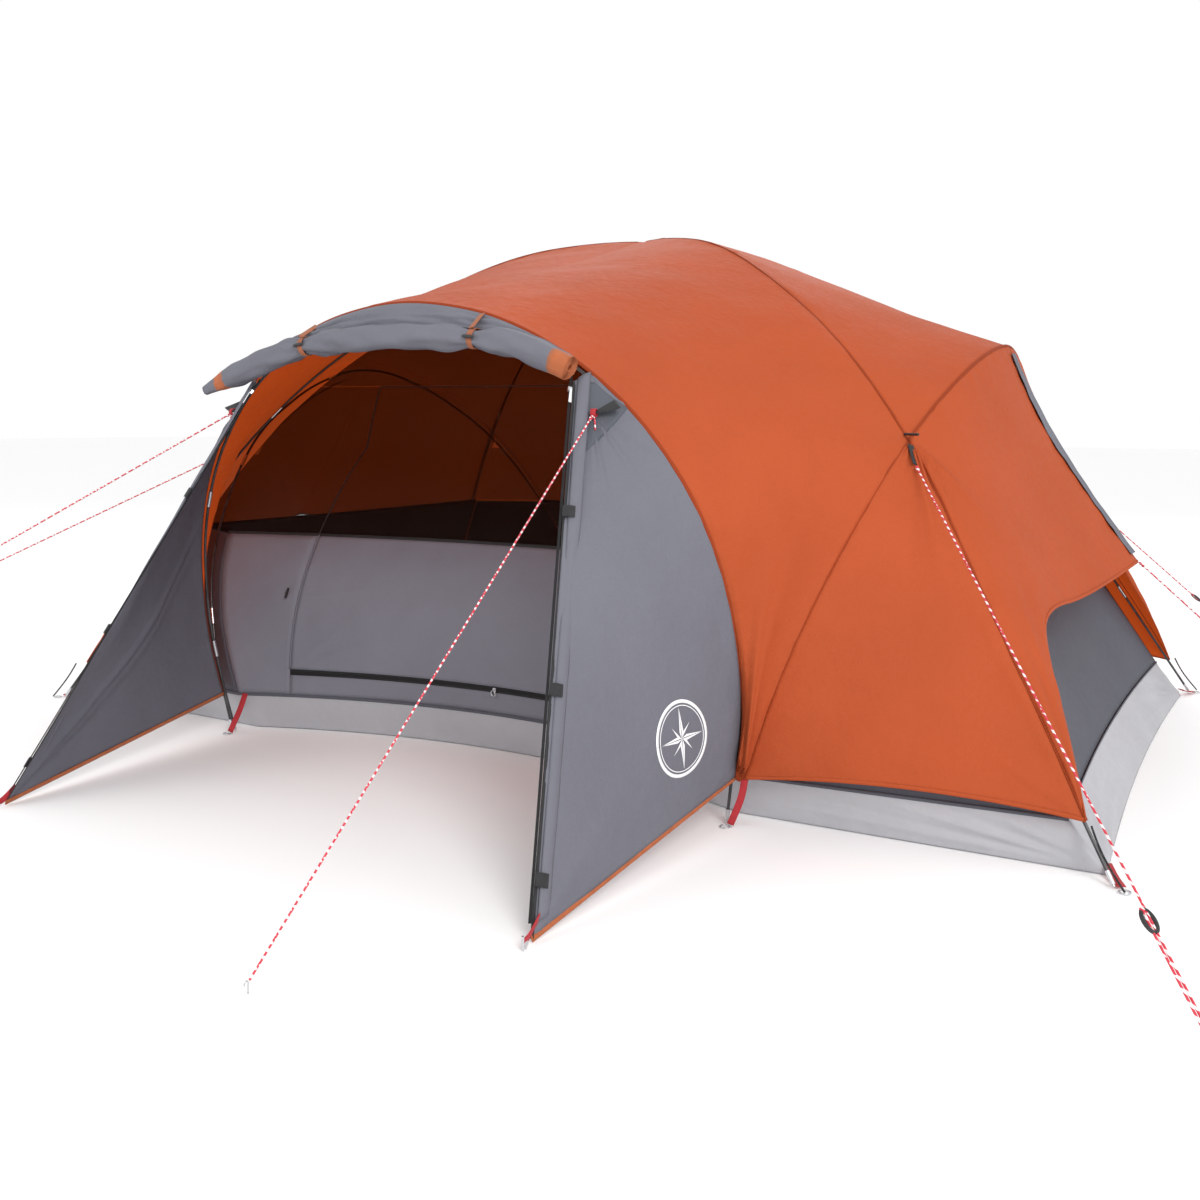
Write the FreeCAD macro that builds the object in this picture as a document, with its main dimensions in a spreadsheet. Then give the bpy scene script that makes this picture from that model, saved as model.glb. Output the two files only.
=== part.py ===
import FreeCAD, Part
import math
import os
from FreeCAD import Placement, Rotation, Vector

# Dome tent with a front porch, in millimetres. The origin is on the ground under the
# dome's top: X to the right, Y to the back (the porch is on the -Y side), Z up.

doc = FreeCAD.newDocument("dome_tent")

# ---------------------------------------------------------------- driving dimensions

SIZES = [
    ("corner_x", 2060, "ground corner of the diagonal poles, from the centre plane"),
    ("corner_y", 1300, "the same corner, towards the front or the back"),
    ("foot_x", 1012, "feet of the side arches, from the centre plane"),
    ("foot_y", 1345, "feet of the side arches, towards the front or the back"),
    ("arch_lean", 0.14, "the front arch leans forward by this much of its height"),
    ("side_lean", 0.3144, "each side arch leans outward by this much of its height"),
    ("wing_x", 953, "ground peg of each porch wing, from the centre plane"),
    ("wing_y", 2330, "the same peg, in front of the centre"),
    ("zip_top_x", 585, "top of each porch zip, from the centre plane"),
    ("hem_z", 150, "height of the outer tent's hem at the feet"),
    ("wall_z", 730, "height of the inner tent's cloth wall, where its mesh begins"),
    ("tub_z", 135, "height of the floor tub's wall"),
    ("tip_x", 1935, "outer tip of each side awning"),
    ("tip_z", 703, "height of that tip"),
    ("pole_radius", 4.75, "fibreglass pole"),
    ("pole_inset", 17, "pole axis below the outer tent's seam"),
    ("side_inset", 40, "the same for the side arches, which pass under the diagonals"),
    ("inner_inset", 62, "inner tent's seams below the outer tent's seams"),
    ("cloth", 2.0, "thickness given to every sheet of cloth"),
    ("seam_gap", 5.0, "each panel stops this far short of its seam line"),
    ("guy_radius", 2.5, "guy line"),
    ("webbing", 20, "width of the webbing straps"),
    ("webbing_thick", 1.6, "thickness of the webbing straps"),
    ("zip_width", 7.0, "coil zip chain"),
    ("zip_thick", 2.4, "thickness of that chain"),
    ("slider_size", 13, "length and width of a zip slider"),
    ("slider_thick", 7.4, "thickness of a zip slider"),
    ("ring_radius", 14, "ground ring at each foot"),
    ("ring_wire", 2.2, "wire radius of that ring"),
    ("pin_radius", 2.4, "pin that stands in a pole's end"),
    ("tip_radius", 5.9, "metal end of a pole"),
    ("tip_bore", 4.85, "its bore"),
    ("ferrule_radius", 6.6, "metal sleeve between two pole sections"),
    ("ferrule_bore", 5.5, "its bore"),
    ("peg_radius", 3.0, "ground peg, above the ground only"),
    ("peg_height", 34, "height of the peg above the ground"),
]

sheet = doc.addObject("Spreadsheet::Sheet", "Dimensions")
for row, (alias, value, note) in enumerate(SIZES, start=1):
    sheet.set(f"A{row}", note)
    sheet.set(f"B{row}", str(value))
    sheet.setAlias(f"B{row}", alias)
doc.recompute()


def dim(alias):
    return float(getattr(sheet, alias))


CORNER_R = math.hypot(dim("corner_x"), dim("corner_y"))
DIAG_X = dim("corner_x") / CORNER_R
DIAG_Y = dim("corner_y") / CORNER_R
AWNING_TIP = Vector(dim("tip_x"), 0, dim("tip_z"))
WING_PEG = Vector(dim("wing_x"), -dim("wing_y"), 6)

# Half outlines of the three kinds of arch, from the foot to the crown, as the control
# points of a smooth curve: distance from the middle, then height.
FRONT_ARCH = [(1005, 0), (1052, 200), (1072, 450), (1030, 760)]
FRONT_ARCH += [(910, 1030), (700, 1275), (400, 1455), (115, 1518)]
SIDE_ARCH = [(1345, 0), (1375, 270), (1300, 600), (1100, 900)]
SIDE_ARCH += [(830, 1160), (450, 1352), (130, 1440)]
DIAGONAL = [(CORNER_R, 0), (2255, 270), (1970, 650), (1675, 1055)]
DIAGONAL += [(1365, 1360), (1005, 1605), (560, 1827), (170, 1893)]

nodes = []


def keep(thing, label):
    thing.Label = label
    nodes.append(thing)
    return thing


# ------------------------------------------------------------------ curves and grids


def inset(half, distance, foot=0.0):
    """The half outline moved inwards, square to itself; foot moves its ground point."""
    whole = half + [(-half[-1][0], half[-1][1])]
    moved = [(half[0][0] - foot, half[0][1])]
    for before, here, after in zip(whole, whole[1:], whole[2:]):
        run, rise = after[0] - before[0], after[1] - before[1]
        length = math.hypot(run, rise)
        moved.append((here[0] - distance * rise / length, here[1] + distance * run / length))
    return moved


def smooth(control, steps=10):
    """Points of the quadratic curve that is tangent to every side of the control line."""
    breaks = [control[0]]
    breaks += [(a + b) * 0.5 for a, b in zip(control[1:-2], control[2:-1])]
    breaks += [control[-1]]
    points = [control[0]]
    for start, middle, end in zip(breaks, control[1:-1], breaks[1:]):
        for k in range(1, steps + 1):
            t = k / steps
            points.append(start * (1 - t) ** 2 + middle * 2 * t * (1 - t) + end * t * t)
    return points


def half_curve(half, place):
    """The smooth half outline in space, up to and including its crown."""
    control = [place(a, b) for a, b in half + [(-a, b) for a, b in reversed(half)]]
    points = smooth(control)
    return points[: len(points) // 2 + 1]


def mix(a, b, t):
    return a * (1 - t) + b * t


def split(points, value):
    """Cuts a line of points where value() passes zero; gives the two parts."""
    for k, (a, b) in enumerate(zip(points, points[1:])):
        va, vb = value(a), value(b)
        if va * vb <= 0 and va != vb:
            cut = mix(a, b, va / (va - vb))
            return points[: k + 1] + [cut], [cut] + points[k + 1 :]
    raise ValueError("the line isn't crossed")


def spread(points, count):
    """count + 1 points at equal distances along a line of points."""
    lengths = [0.0]
    for a, b in zip(points, points[1:]):
        lengths.append(lengths[-1] + (b - a).Length)
    made, k = [], 0
    for n in range(count + 1):
        want = lengths[-1] * n / count
        while k < len(points) - 2 and lengths[k + 1] < want:
            k += 1
        share = (want - lengths[k]) / max(lengths[k + 1] - lengths[k], 1e-9)
        made.append(mix(points[k], points[k + 1], share))
    return made


def flip_x(p):
    return Vector(-p.x, p.y, p.z)


def flip_y(p):
    return Vector(p.x, -p.y, p.z)


def each(grid, change):
    return [[change(p) for p in row] for row in grid]


def ruled(first, second, count, bow=None):
    """Rows of points from one line to another, the middle moved by the vector bow."""
    rows = []
    for k in range(count + 1):
        t = k / count
        push = (bow or Vector()) * (4 * t * (1 - t))
        rows.append([mix(a, b, t) + push for a, b in zip(first, second)])
    return rows


def coons(top, bottom, left, right):
    """A patch between four edge lines: top and bottom run left to right."""
    rows = []
    across, down = len(top) - 1, len(left) - 1
    for i in range(down + 1):
        v = i / down
        row = []
        for j in range(across + 1):
            u = j / across
            flat = mix(mix(top[0], top[-1], u), mix(bottom[0], bottom[-1], u), v)
            row.append(mix(top[j], bottom[j], v) + mix(left[i], right[i], u) - flat)
        rows.append(row)
    return rows


def shrunk(grid, gap):
    """The grid with its four edges drawn in by gap along the surface."""
    for turn in range(2):
        grid = [list(line) for line in zip(*grid)]
        for edge, beside in ((0, 1), (-1, -2)):
            for k, p in enumerate(grid[edge]):
                way = grid[beside][k] - p
                grid[edge][k] = p + way * min(0.4, gap / max(way.Length, 1e-6))
    return grid


def cloth_solid(grid, thick=None, gap=None):
    """A closed sheet of even thickness over a grid of points."""
    thick = dim("cloth") if thick is None else thick
    grid = shrunk(grid, dim("seam_gap") if gap is None else gap)
    m, n = len(grid), len(grid[0])
    points = []
    for side in (-0.5, 0.5):
        for i in range(m):
            for j in range(n):
                along = grid[min(i + 1, m - 1)][j] - grid[max(i - 1, 0)][j]
                across = grid[i][min(j + 1, n - 1)] - grid[i][max(j - 1, 0)]
                normal = along.cross(across).normalize()
                points.append(grid[i][j] + normal * (thick * side))
    faces = []
    for i in range(m - 1):
        for j in range(n - 1):
            a, b, c, d = i * n + j, i * n + j + 1, (i + 1) * n + j + 1, (i + 1) * n + j
            faces += [(a, c, b), (a, d, c)]
            a, b, c, d = (k + m * n for k in (a, b, c, d))
            faces += [(a, b, c), (a, c, d)]
    rim = [j for j in range(n)] + [i * n + n - 1 for i in range(1, m)]
    rim += [(m - 1) * n + j for j in range(n - 2, -1, -1)] + [i * n for i in range(m - 2, 0, -1)]
    for a, b in zip(rim, rim[1:] + rim[:1]):
        faces += [(a, b, b + m * n), (a, b + m * n, a + m * n)]
    return solid_of(points, faces)


def solid_of(points, faces):
    shape = Part.Shape()
    shape.makeShapeFromMesh((points, faces), 0.001)
    solid = Part.makeSolid(shape)
    if solid.Volume < 0:
        solid.reverse()
    return solid


def sheets(label, *grids, thick=None, gap=None):
    """One node of one or more sheets of cloth."""
    piece = doc.addObject("Part::Feature", label)
    solids = [cloth_solid(grid, thick, gap) for grid in grids]
    piece.Shape = solids[0] if len(solids) == 1 else Part.makeCompound(solids)
    return keep(piece, label)


# ------------------------------------------------------------- the seams of the tent


def front_place(a, b):
    return Vector(a, -dim("foot_y") - dim("arch_lean") * b, b)


def side_place(shift=0.0):
    return lambda a, b: Vector(dim("foot_x") - shift + dim("side_lean") * b, -a, b)


def diagonal_place(a, b):
    return Vector(DIAG_X * a, -DIAG_Y * a, b)


def seams(distance, foot, shift):
    """The right front quarter's seams: side arch and diagonal, each cut at the hub."""
    side = half_curve(inset(SIDE_ARCH, distance, foot), side_place(shift))
    diagonal = half_curve(inset(DIAGONAL, distance, foot), diagonal_place)
    plane_x = dim("foot_x") - shift
    lower, upper = split(diagonal, lambda p: p.x - plane_x - dim("side_lean") * p.z)
    hub = lower[-1]
    side_lower, side_upper = split(side, lambda p: p.z - hub.z)
    side_lower[-1] = hub
    side_upper[0] = hub
    return {"side_low": side_lower, "side_up": side_upper, "diag_low": lower, "diag_up": upper}


def above(points, z):
    return split(points, lambda p: p.z - z)[1]


fly = seams(0.0, 0.0, 0.0)
inner = seams(dim("inner_inset"), dim("inner_inset"), 20.0)
HUB = fly["diag_low"][-1]
APEX = fly["side_up"][-1]
TOP = fly["diag_up"][-1]
front_half = half_curve(FRONT_ARCH, front_place)

# ------------------------------------------------------------------------ outer tent


def mirrored(half):
    """A line from the right foot over the crown to the left foot."""
    return half + [flip_x(p) for p in reversed(half[:-1])]


HALF_STEPS = 18


def ridge_half(curves, z, count):
    return spread(above(curves["side_low"], z) + curves["diag_up"][1:], count)


def front_roof():
    arch = mirrored(spread(above(front_half, dim("hem_z")), HALF_STEPS))
    ridge = mirrored(ridge_half(fly, dim("hem_z"), HALF_STEPS))
    return ruled(arch, ridge, 6, Vector(0, 0, -12))


def corner_panel(curves, z, top=0.94):
    """The triangle between a side arch and a diagonal, under their crossing."""
    side = spread(above(curves["side_low"], z), 25)
    diagonal = spread(above(curves["diag_low"], z), 25)
    rows = int(len(side) * top)
    return ruled(side[:rows], diagonal[:rows], 5)


AWNING_RIDGE = smooth([APEX, Vector(1578, 0, 1150), AWNING_TIP])


def awning_half():
    """From the hub and side arch down to the tip, with the hem cut up in a curve."""
    left = spread(above(fly["diag_low"], dim("hem_z")), 12)
    left.reverse()
    hem = [left[-1], Vector(1912, -1150, 330), Vector(1815, -985, 520)]
    hem += [Vector(1772, -850, 640), Vector(1845, -460, 628), AWNING_TIP]
    bottom = spread(smooth(hem), 10)
    top = spread(fly["side_up"], 10)
    right = spread(AWNING_RIDGE, 12)
    return coons(top, bottom, left, right)


def roof_side(curves, sag):
    """From the top down to a side arch, between the two diagonals."""
    diagonal = spread(list(reversed(curves["diag_up"])), 16)
    arch = spread(curves["side_up"], 7)
    arch = arch + [flip_y(p) for p in reversed(arch[:-1])]
    rows = []
    for i in range(1, 17):
        t = i / 16
        row = []
        for j, edge in enumerate(arch):
            s = j / (len(arch) - 1)
            chord = mix(diagonal[i], flip_y(diagonal[i]), s)
            bulge = edge - mix(arch[0], arch[-1], s)
            dip = Vector(0, 0, -sag * 16 * s * (1 - s) * t * (1 - t))
            row.append(chord + bulge * t**3 + dip)
        rows.append(row)
    return rows


def between(half, count, sag_y=0.0):
    """Level lines from a seam on the right to the same seam on the left."""
    rows = []
    for k, p in enumerate(half):
        row = []
        for j in range(count + 1):
            s = j / count
            dip = sag_y * 4 * s * (1 - s) * min(1.0, 3 * (1 - k / (len(half) - 1)))
            row.append(mix(p, flip_x(p), s) + Vector(0, dip, 0))
        rows.append(row)
    return rows


def back_panel():
    half = [flip_y(p) for p in ridge_half(fly, 120, 26)]
    return between(half[:-1], 10, -25)


corner = corner_panel(fly, dim("hem_z"))
AWNING_GAP = 8.0
awning = awning_half()
right_roof = roof_side(fly, 2)
sheets("fly_front_roof", front_roof())
sheets("fly_right_roof", right_roof)
sheets("fly_left_roof", each(right_roof, flip_x))
sheets("fly_back_panel", back_panel())
sheets(
    "fly_corner_panels",
    corner,
    each(corner, flip_x),
    each(corner, flip_y),
    each(corner, lambda p: flip_x(flip_y(p))),
)
sheets("right_awning", awning, each(awning, flip_y), gap=AWNING_GAP)
left_half = each(awning, flip_x)
sheets("left_awning", left_half, each(left_half, flip_y), gap=AWNING_GAP)


def awning_flap(side):
    """The storm flap that covers the awning's middle seam."""
    lift = Vector(0.85, 0, 0.53) * 7
    line = [p + lift for p in spread(AWNING_RIDGE, 30)[1:-1:4]]
    grid = [[p + Vector(0, y, 0) for p in line] for y in (-32, 0, 32)]
    return grid if side > 0 else each(grid, flip_x)


sheets("awning_flaps", awning_flap(1), awning_flap(-1), gap=0.0)

# --------------------------------------------------------------- porch wings and zips

low_arch, high_arch = split(above(front_half, dim("hem_z")), lambda p: p.x - dim("zip_top_x"))
WING_SEAM = [p for p in low_arch if p.z > 0]
ZIP_TOP = WING_SEAM[-1]
ZIP_WAY = (WING_PEG - ZIP_TOP).normalize()
ZIP_LENGTH = (WING_PEG - ZIP_TOP).Length
ZIP_SIDE = Vector(0, -0.35, 0.05).cross(ZIP_WAY).normalize()
WING_GAP = 9.0
ZIP_START = 95.0
ZIP_END = ZIP_LENGTH - 60.0


def zip_point(distance, out=0.0):
    return ZIP_TOP + ZIP_WAY * distance + ZIP_SIDE * out


def wing():
    """From the front arch's seam to the straight zip, narrowing to the zip's top."""
    seam = spread(WING_SEAM, 16)
    edge = [mix(WING_PEG, ZIP_TOP, k / 16) for k in range(17)]
    edge = [p + (q - p).normalize() * 10 for p, q in zip(edge[:-1], seam[:-1])]
    return ruled(seam[:-2], edge[:-1], 8)


sheets("right_wing", wing(), gap=WING_GAP)
sheets("left_wing", each(wing(), flip_x), gap=WING_GAP)


def storm_flap():
    """A folded strip beside the zip, just clear of the wing's face."""
    cloth = wing()
    rows = []
    for width in (12, 32, 54):
        row = []
        for seam, edge in list(zip(cloth[0], cloth[-1]))[1:-1]:
            toward = (seam - edge).normalize()
            face = toward.cross(ZIP_WAY).normalize()
            row.append(edge + toward * width + face * (face.x / abs(face.x)) * 7)
        rows.append(row)
    return rows


sheets("storm_flaps", storm_flap(), each(storm_flap(), flip_x), gap=0.0)


def frame_along(way, across):
    """The rotation that turns +X to way and +Y as near as it can to across."""
    x = Vector(way).normalize()
    z = x.cross(across).normalize()
    return Rotation(x, z.cross(x), z, "XYZ")


def box(name, length, width, thick, place, rotation):
    """A Part::Box centred on its width and thickness, starting at place."""
    piece = doc.addObject("Part::Box", name)
    piece.Length = length
    for side, size in (("Width", width), ("Height", thick)):
        if isinstance(size, str):
            piece.setExpression(side, f"Dimensions.{size}")
        else:
            setattr(piece, side, size)
    wide = dim(width) if isinstance(width, str) else width
    high = dim(thick) if isinstance(thick, str) else thick
    corner_at = rotation.multVec(Vector(0, -wide / 2, -high / 2))
    piece.Placement = Placement(place + corner_at, rotation)
    return piece


def group(label, parts):
    """One node made of several separate solids."""
    piece = doc.addObject("Part::Compound", label)
    piece.Links = parts
    return keep(piece, label)


WING_ACROSS = (WING_SEAM[len(WING_SEAM) // 2] - zip_point(ZIP_LENGTH * 0.55)).normalize()


def zip_rotation(side):
    way = ZIP_WAY if side > 0 else flip_x(ZIP_WAY)
    across = WING_ACROSS if side > 0 else flip_x(WING_ACROSS)
    return frame_along(way, across)


def chain(name, side):
    start = zip_point(ZIP_START - 40)
    start = start if side > 0 else flip_x(start)
    length = ZIP_END - ZIP_START + 60
    piece = box(name, length, "zip_width", "zip_thick", start, zip_rotation(side))
    return keep(piece, name)


chain("right_zip_chain", 1)
chain("left_zip_chain", -1)


def cylinder(name, start, end, radius):
    """A Part::Cylinder from one point to another."""
    piece = doc.addObject("Part::Cylinder", name)
    if isinstance(radius, str):
        piece.setExpression("Radius", f"Dimensions.{radius}")
    else:
        piece.Radius = radius
    piece.Height = (end - start).Length
    piece.Placement = Placement(start, Rotation(Vector(0, 0, 1), end - start))
    return piece


def tube(name, start, end, radius, bore):
    """A straight sleeve: a cylinder less a longer, thinner one."""
    way = (end - start).normalize()
    cut = doc.addObject("Part::Cut", name)
    cut.Base = cylinder(f"{name}_outer", start, end, radius)
    cut.Tool = cylinder(f"{name}_bore", start - way, end + way, bore)
    return cut


def xy_plane(body):
    return next(f for f in body.Origin.OriginFeatures if f.Role == "XY_Plane")


def outline(sketch, points):
    corners = list(zip(points, points[1:] + points[:1]))
    for a, b in corners:
        sketch.addGeometry(Part.LineSegment(Vector(*a, 0), Vector(*b, 0)), False)


def padded_body(name, points, height, holes=()):
    """A PartDesign body: an outline, with round holes in it, padded to a height."""
    body = doc.addObject("PartDesign::Body", name)
    sketch = body.newObject("Sketcher::SketchObject", f"{name}_outline")
    sketch.AttachmentSupport = [(xy_plane(body), "")]
    sketch.MapMode = "FlatFace"
    outline(sketch, points)
    for x, y, radius in holes:
        sketch.addGeometry(Part.Circle(Vector(x, y, 0), Vector(0, 0, 1), radius), False)
    pad = body.newObject("PartDesign::Pad", f"{name}_pad")
    pad.Profile = sketch
    pad.Midplane = True
    if isinstance(height, str):
        pad.setExpression("Length", f"Dimensions.{height}")
    else:
        pad.Length = height
    return body


def slotted_slider(name, place, rotation):
    """A zip slider: a waisted block with the chain's slot through its length."""
    size, slot = dim("slider_size") / 2, dim("zip_width") / 2 + 0.5
    lip, thick = dim("zip_thick") / 2 + 0.5, dim("slider_thick") / 2
    ring = [(-size, -thick), (size, -thick), (size, thick), (-size, thick)]
    body = padded_body(name, ring, "slider_size")
    hole = body.newObject("Sketcher::SketchObject", f"{name}_slot")
    hole.AttachmentSupport = [(xy_plane(body), "")]
    hole.MapMode = "FlatFace"
    outline(hole, [(-slot, -lip), (slot, -lip), (slot, lip), (-slot, lip)])
    pocket = body.newObject("PartDesign::Pocket", f"{name}_pocket")
    pocket.Profile = hole
    pocket.Type = "ThroughAll"
    pocket.Midplane = True
    body.Placement = Placement(place, rotation)
    return body


def slider_rotation(side):
    """The slot along the zip, the block's width across it."""
    turn = zip_rotation(side)
    return turn.multiply(Rotation(Vector(0, 1, 0), Vector(0, 0, 1), Vector(1, 0, 0), "XYZ"))


SLIDER_AT = ZIP_START + 10
PULL_LENGTH = 46.0
PULL_THICK = 2.2
PULL_OFFSET = dim("slider_thick") / 2 + 2.6


def outer_face(side):
    """Square to the zip, towards the porch's outside."""
    face = zip_rotation(1).multVec(Vector(0, 0, 1))
    if face.y > 0:
        face = face * -1
    return face if side > 0 else flip_x(face)


def pull_top(side):
    """Where a slider's pull tab hangs, just off the slider's outer face."""
    p = zip_point(SLIDER_AT)
    return (p if side > 0 else flip_x(p)) + outer_face(side) * PULL_OFFSET


def pull_tab(name, side):
    """The tab lies along the zip, and lifts away from it."""
    way = ZIP_WAY if side > 0 else flip_x(ZIP_WAY)
    face = outer_face(side)
    body = padded_body(
        name,
        [(2, -2.2), (10, -3.2), (PULL_LENGTH, -4.2), (PULL_LENGTH, 4.2), (10, 3.2), (2, 2.2)],
        PULL_THICK,
    )
    body.Placement = Placement(pull_top(side), Rotation(way, face.cross(way), face, "XYZ"))
    return keep(body, name)


for side, word in ((1, "right"), (-1, "left")):
    at = zip_point(SLIDER_AT) if side > 0 else flip_x(zip_point(SLIDER_AT))
    keep(slotted_slider(f"{word}_zip_slider", at, slider_rotation(side)), f"{word}_zip_slider")
    pull_tab(f"{word}_zip_pull", side)


TAB_LENGTH, TAB_WIDTH, TAB_THICK, TAB_CLEAR = 32, 24, 2.0, 15


def flap_tab(name, distance, side):
    """A dark tab on the wing's edge that holds the storm flap down."""
    face = WING_ACROSS.cross(ZIP_WAY).normalize() * TAB_CLEAR
    if face.y > 0:
        face = face * -1
    place = zip_point(distance) + WING_ACROSS * 14 - ZIP_WAY * (TAB_LENGTH / 2) + face
    if side < 0:
        place = flip_x(place)
    return box(name, TAB_LENGTH, TAB_WIDTH, TAB_THICK, place, zip_rotation(side))


TAB_PLACES = (0.31, 0.62, 0.92)
tabs = []
for number, share in enumerate(TAB_PLACES):
    for side in (1, -1):
        tabs.append(flap_tab(f"tab_{number}_{side + 1}", ZIP_LENGTH * share, side))
group("flap_tabs", tabs)

# ------------------------------------------------------------------------- the poles


def bent_tube(control, radius):
    """A tube along straight runs joined by tangent arcs, as large as the runs allow."""
    edges, last = [], control[0]
    for before, here, after in zip(control, control[1:], control[2:]):
        back, on = (before - here), (after - here)
        reach = 0.45 * min(back.Length, on.Length)
        back.normalize()
        on.normalize()
        a, b = here + back * reach, here + on * reach
        half_turn = (math.pi - back.getAngle(on)) / 2
        rise = reach * math.tan(half_turn)
        middle = here + (back + on).normalize() * (rise / math.sin(half_turn) - rise)
        if half_turn < 0.5:
            big = reach / math.tan(half_turn)
            middle = here + (back + on).normalize() * (math.hypot(big, reach) - big)
        edges.append(Part.LineSegment(last, a).toShape())
        edges.append(Part.Arc(a, middle, b).toShape())
        last = b
    edges.append(Part.LineSegment(last, control[-1]).toShape())
    path = Part.Wire(edges)
    start = edges[0].Curve.Direction
    circle = Part.Wire([Part.makeCircle(radius, control[0], start)])
    solid = path.makePipeShell([circle], True, True)
    if abs(solid.Volume / (math.pi * radius**2 * path.Length) - 1) > 0.01:
        raise ValueError("a tube has lost part of its length")
    return solid


def whole(half, place):
    """Control points from one foot over the crown to the other."""
    return [place(a, b) for a, b in half] + [place(-a, b) for a, b in reversed(half)]


def shortened(control, start=30.0):
    """The same line with its two ends lifted off the ground points by start."""
    first = control[0] + (control[1] - control[0]).normalize() * start
    last = control[-1] + (control[-2] - control[-1]).normalize() * start
    return [first] + control[1:-1] + [last]


def lifted(half, rise):
    """The outline with its crown raised, where one pole crosses over another."""
    return half[:-1] + [(half[-1][0], half[-1][1] + rise)]


inset_diagonal = inset(DIAGONAL, dim("pole_inset"))
inset_side = inset(SIDE_ARCH, dim("side_inset"))
inset_front = inset(FRONT_ARCH, dim("pole_inset"))
CROSSING = 6.0
HUB_STEP = 8.0


def other_diagonal(a, b):
    return Vector(-DIAG_X * a, -DIAG_Y * a, b)


def side_pole_place(sign):
    """The side arch stands a step further out than its seam, clear of the front arch."""
    out = side_place(-HUB_STEP)
    return (lambda a, b: out(a, b)) if sign > 0 else (lambda a, b: flip_x(out(a, b)))


POLES = {
    "diagonal_pole_over": whole(lifted(inset_diagonal, CROSSING), diagonal_place),
    "diagonal_pole_under": whole(lifted(inset_diagonal, -CROSSING), other_diagonal),
    "right_side_pole": whole(inset_side, side_pole_place(1)),
    "left_side_pole": whole(inset_side, side_pole_place(-1)),
    "front_arch_pole": whole(inset_front, front_place),
}
for label, control in POLES.items():
    pole = doc.addObject("Part::Feature", label)
    pole.Shape = bent_tube(shortened(control), dim("pole_radius"))
    keep(pole, label)

tips, pins = [], []
for label, control in POLES.items():
    for end, (foot, beyond) in enumerate(((control[0], control[1]), (control[-1], control[-2]))):
        way = (beyond - foot).normalize()
        name = f"{label}_{end}"
        tips.append(tube(f"{name}_tip", foot + way * 12, foot + way * 48, "tip_radius", "tip_bore"))
        pins.append(cylinder(f"{name}_pin", foot + way * 6, foot + way * 29, "pin_radius"))
group("pole_end_tips", tips)


def ring(name, at):
    piece = doc.addObject("Part::Torus", name)
    piece.setExpression("Radius1", "Dimensions.ring_radius")
    piece.setExpression("Radius2", "Dimensions.ring_wire")
    piece.Placement = Placement(at, Rotation())
    return piece


rings = []
for sx in (1, -1):
    for sy in (1, -1):
        low = dim("ring_wire")
        beside_corner = Vector(sx * (dim("corner_x") + 24), sy * (dim("corner_y") + 16), low)
        beside_foot = Vector(sx * (dim("foot_x") + 3), sy * (dim("foot_y") + 34), low)
        rings.append(ring(f"corner_ring_{sx}_{sy}", beside_corner))
        rings.append(ring(f"foot_ring_{sx}_{sy}", beside_foot))
group("ring_pins", rings + pins)

FERRULE_LENGTH = 60.0
ferrules = []
for label, control in POLES.items():
    for number in range(1, len(control) - 2):
        a, b = control[number], control[number + 1]
        at = (a + b) * 0.5
        way = (b - a).normalize() * (FERRULE_LENGTH / 2)
        if number % 2 == 1 and at.z > 200:
            name = f"{label}_ferrule_{number}"
            ferrules.append(tube(name, at - way, at + way, "ferrule_radius", "ferrule_bore"))
group("pole_ferrules", ferrules)

# ---------------------------------------------------------------- floor and inner tent

FRONT_SAG = 240.0
BACK_SAG = 60.0
SIDE_SAG = 35.0
MESH_GAP = 10.0
DOOR_LEFT, DOOR_RIGHT = -850.0, 520.0
DOOR_BOTTOM, DOOR_TOP = 236.0, 1300.0
SILL_TOP = 214.0
inner_half = inner["side_low"] + inner["diag_up"][1:]
CROWN_Z = inner_half[-1].z


def at_height(points, z):
    return split(points, lambda p: p.z - z)[1][0]


def sag_share(z):
    """Full at the floor and nothing at the crown."""
    return 1 - ((z - dim("tub_z")) / (CROWN_Z - dim("tub_z"))) ** 2


def front_wall(x, z, edge):
    """The inner tent's front wall hangs in towards the middle of the tent."""
    return Vector(x, edge.y + FRONT_SAG * sag_share(z) * (1 - (x / edge.x) ** 2), z)


def wall_patch(left, right, low, high, rows, columns):
    """A part of the front wall; left and right are distances, or None at a seam."""
    grid = []
    for i in range(rows + 1):
        z = low + (high - low) * i / rows
        edge = at_height(inner_half, z)
        a = -edge.x if left is None else left
        b = edge.x if right is None else right
        grid.append([front_wall(a + (b - a) * j / columns, z, edge) for j in range(columns + 1)])
    return grid


def back_wall(low, high, rows):
    grid = []
    for i in range(rows + 1):
        z = low + (high - low) * i / rows
        edge = at_height(inner_half, z)
        row = []
        for j in range(13):
            x = edge.x * (1 - j / 6)
            row.append(Vector(x, -edge.y - BACK_SAG * sag_share(z) * (1 - (x / edge.x) ** 2), z))
        grid.append(row)
    return grid


def side_wall_low():
    grid = []
    for i in range(5):
        z = LOW + (WALL - SPLIT - LOW) * i / 4
        edge = at_height(inner["diag_low"], z)
        row = []
        for j in range(9):
            s = j / 8
            row.append(mix(edge, flip_y(edge), s) - Vector(SIDE_SAG * 4 * s * (1 - s), 0, 0))
        grid.append(row)
    return grid


def side_wall_mesh():
    left = spread(above(inner["diag_low"], WALL + SPLIT), 5)
    left.reverse()
    half = spread(inner["side_up"], 5)
    top = half + [flip_y(p) for p in reversed(half[:-1])]
    low = [p + Vector(0, 0, 2 * SPLIT) for p in side_wall_low()[-1]]
    bottom = spread(low, len(top) - 1)
    return coons(top, bottom, left, [flip_y(p) for p in left])


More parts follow.
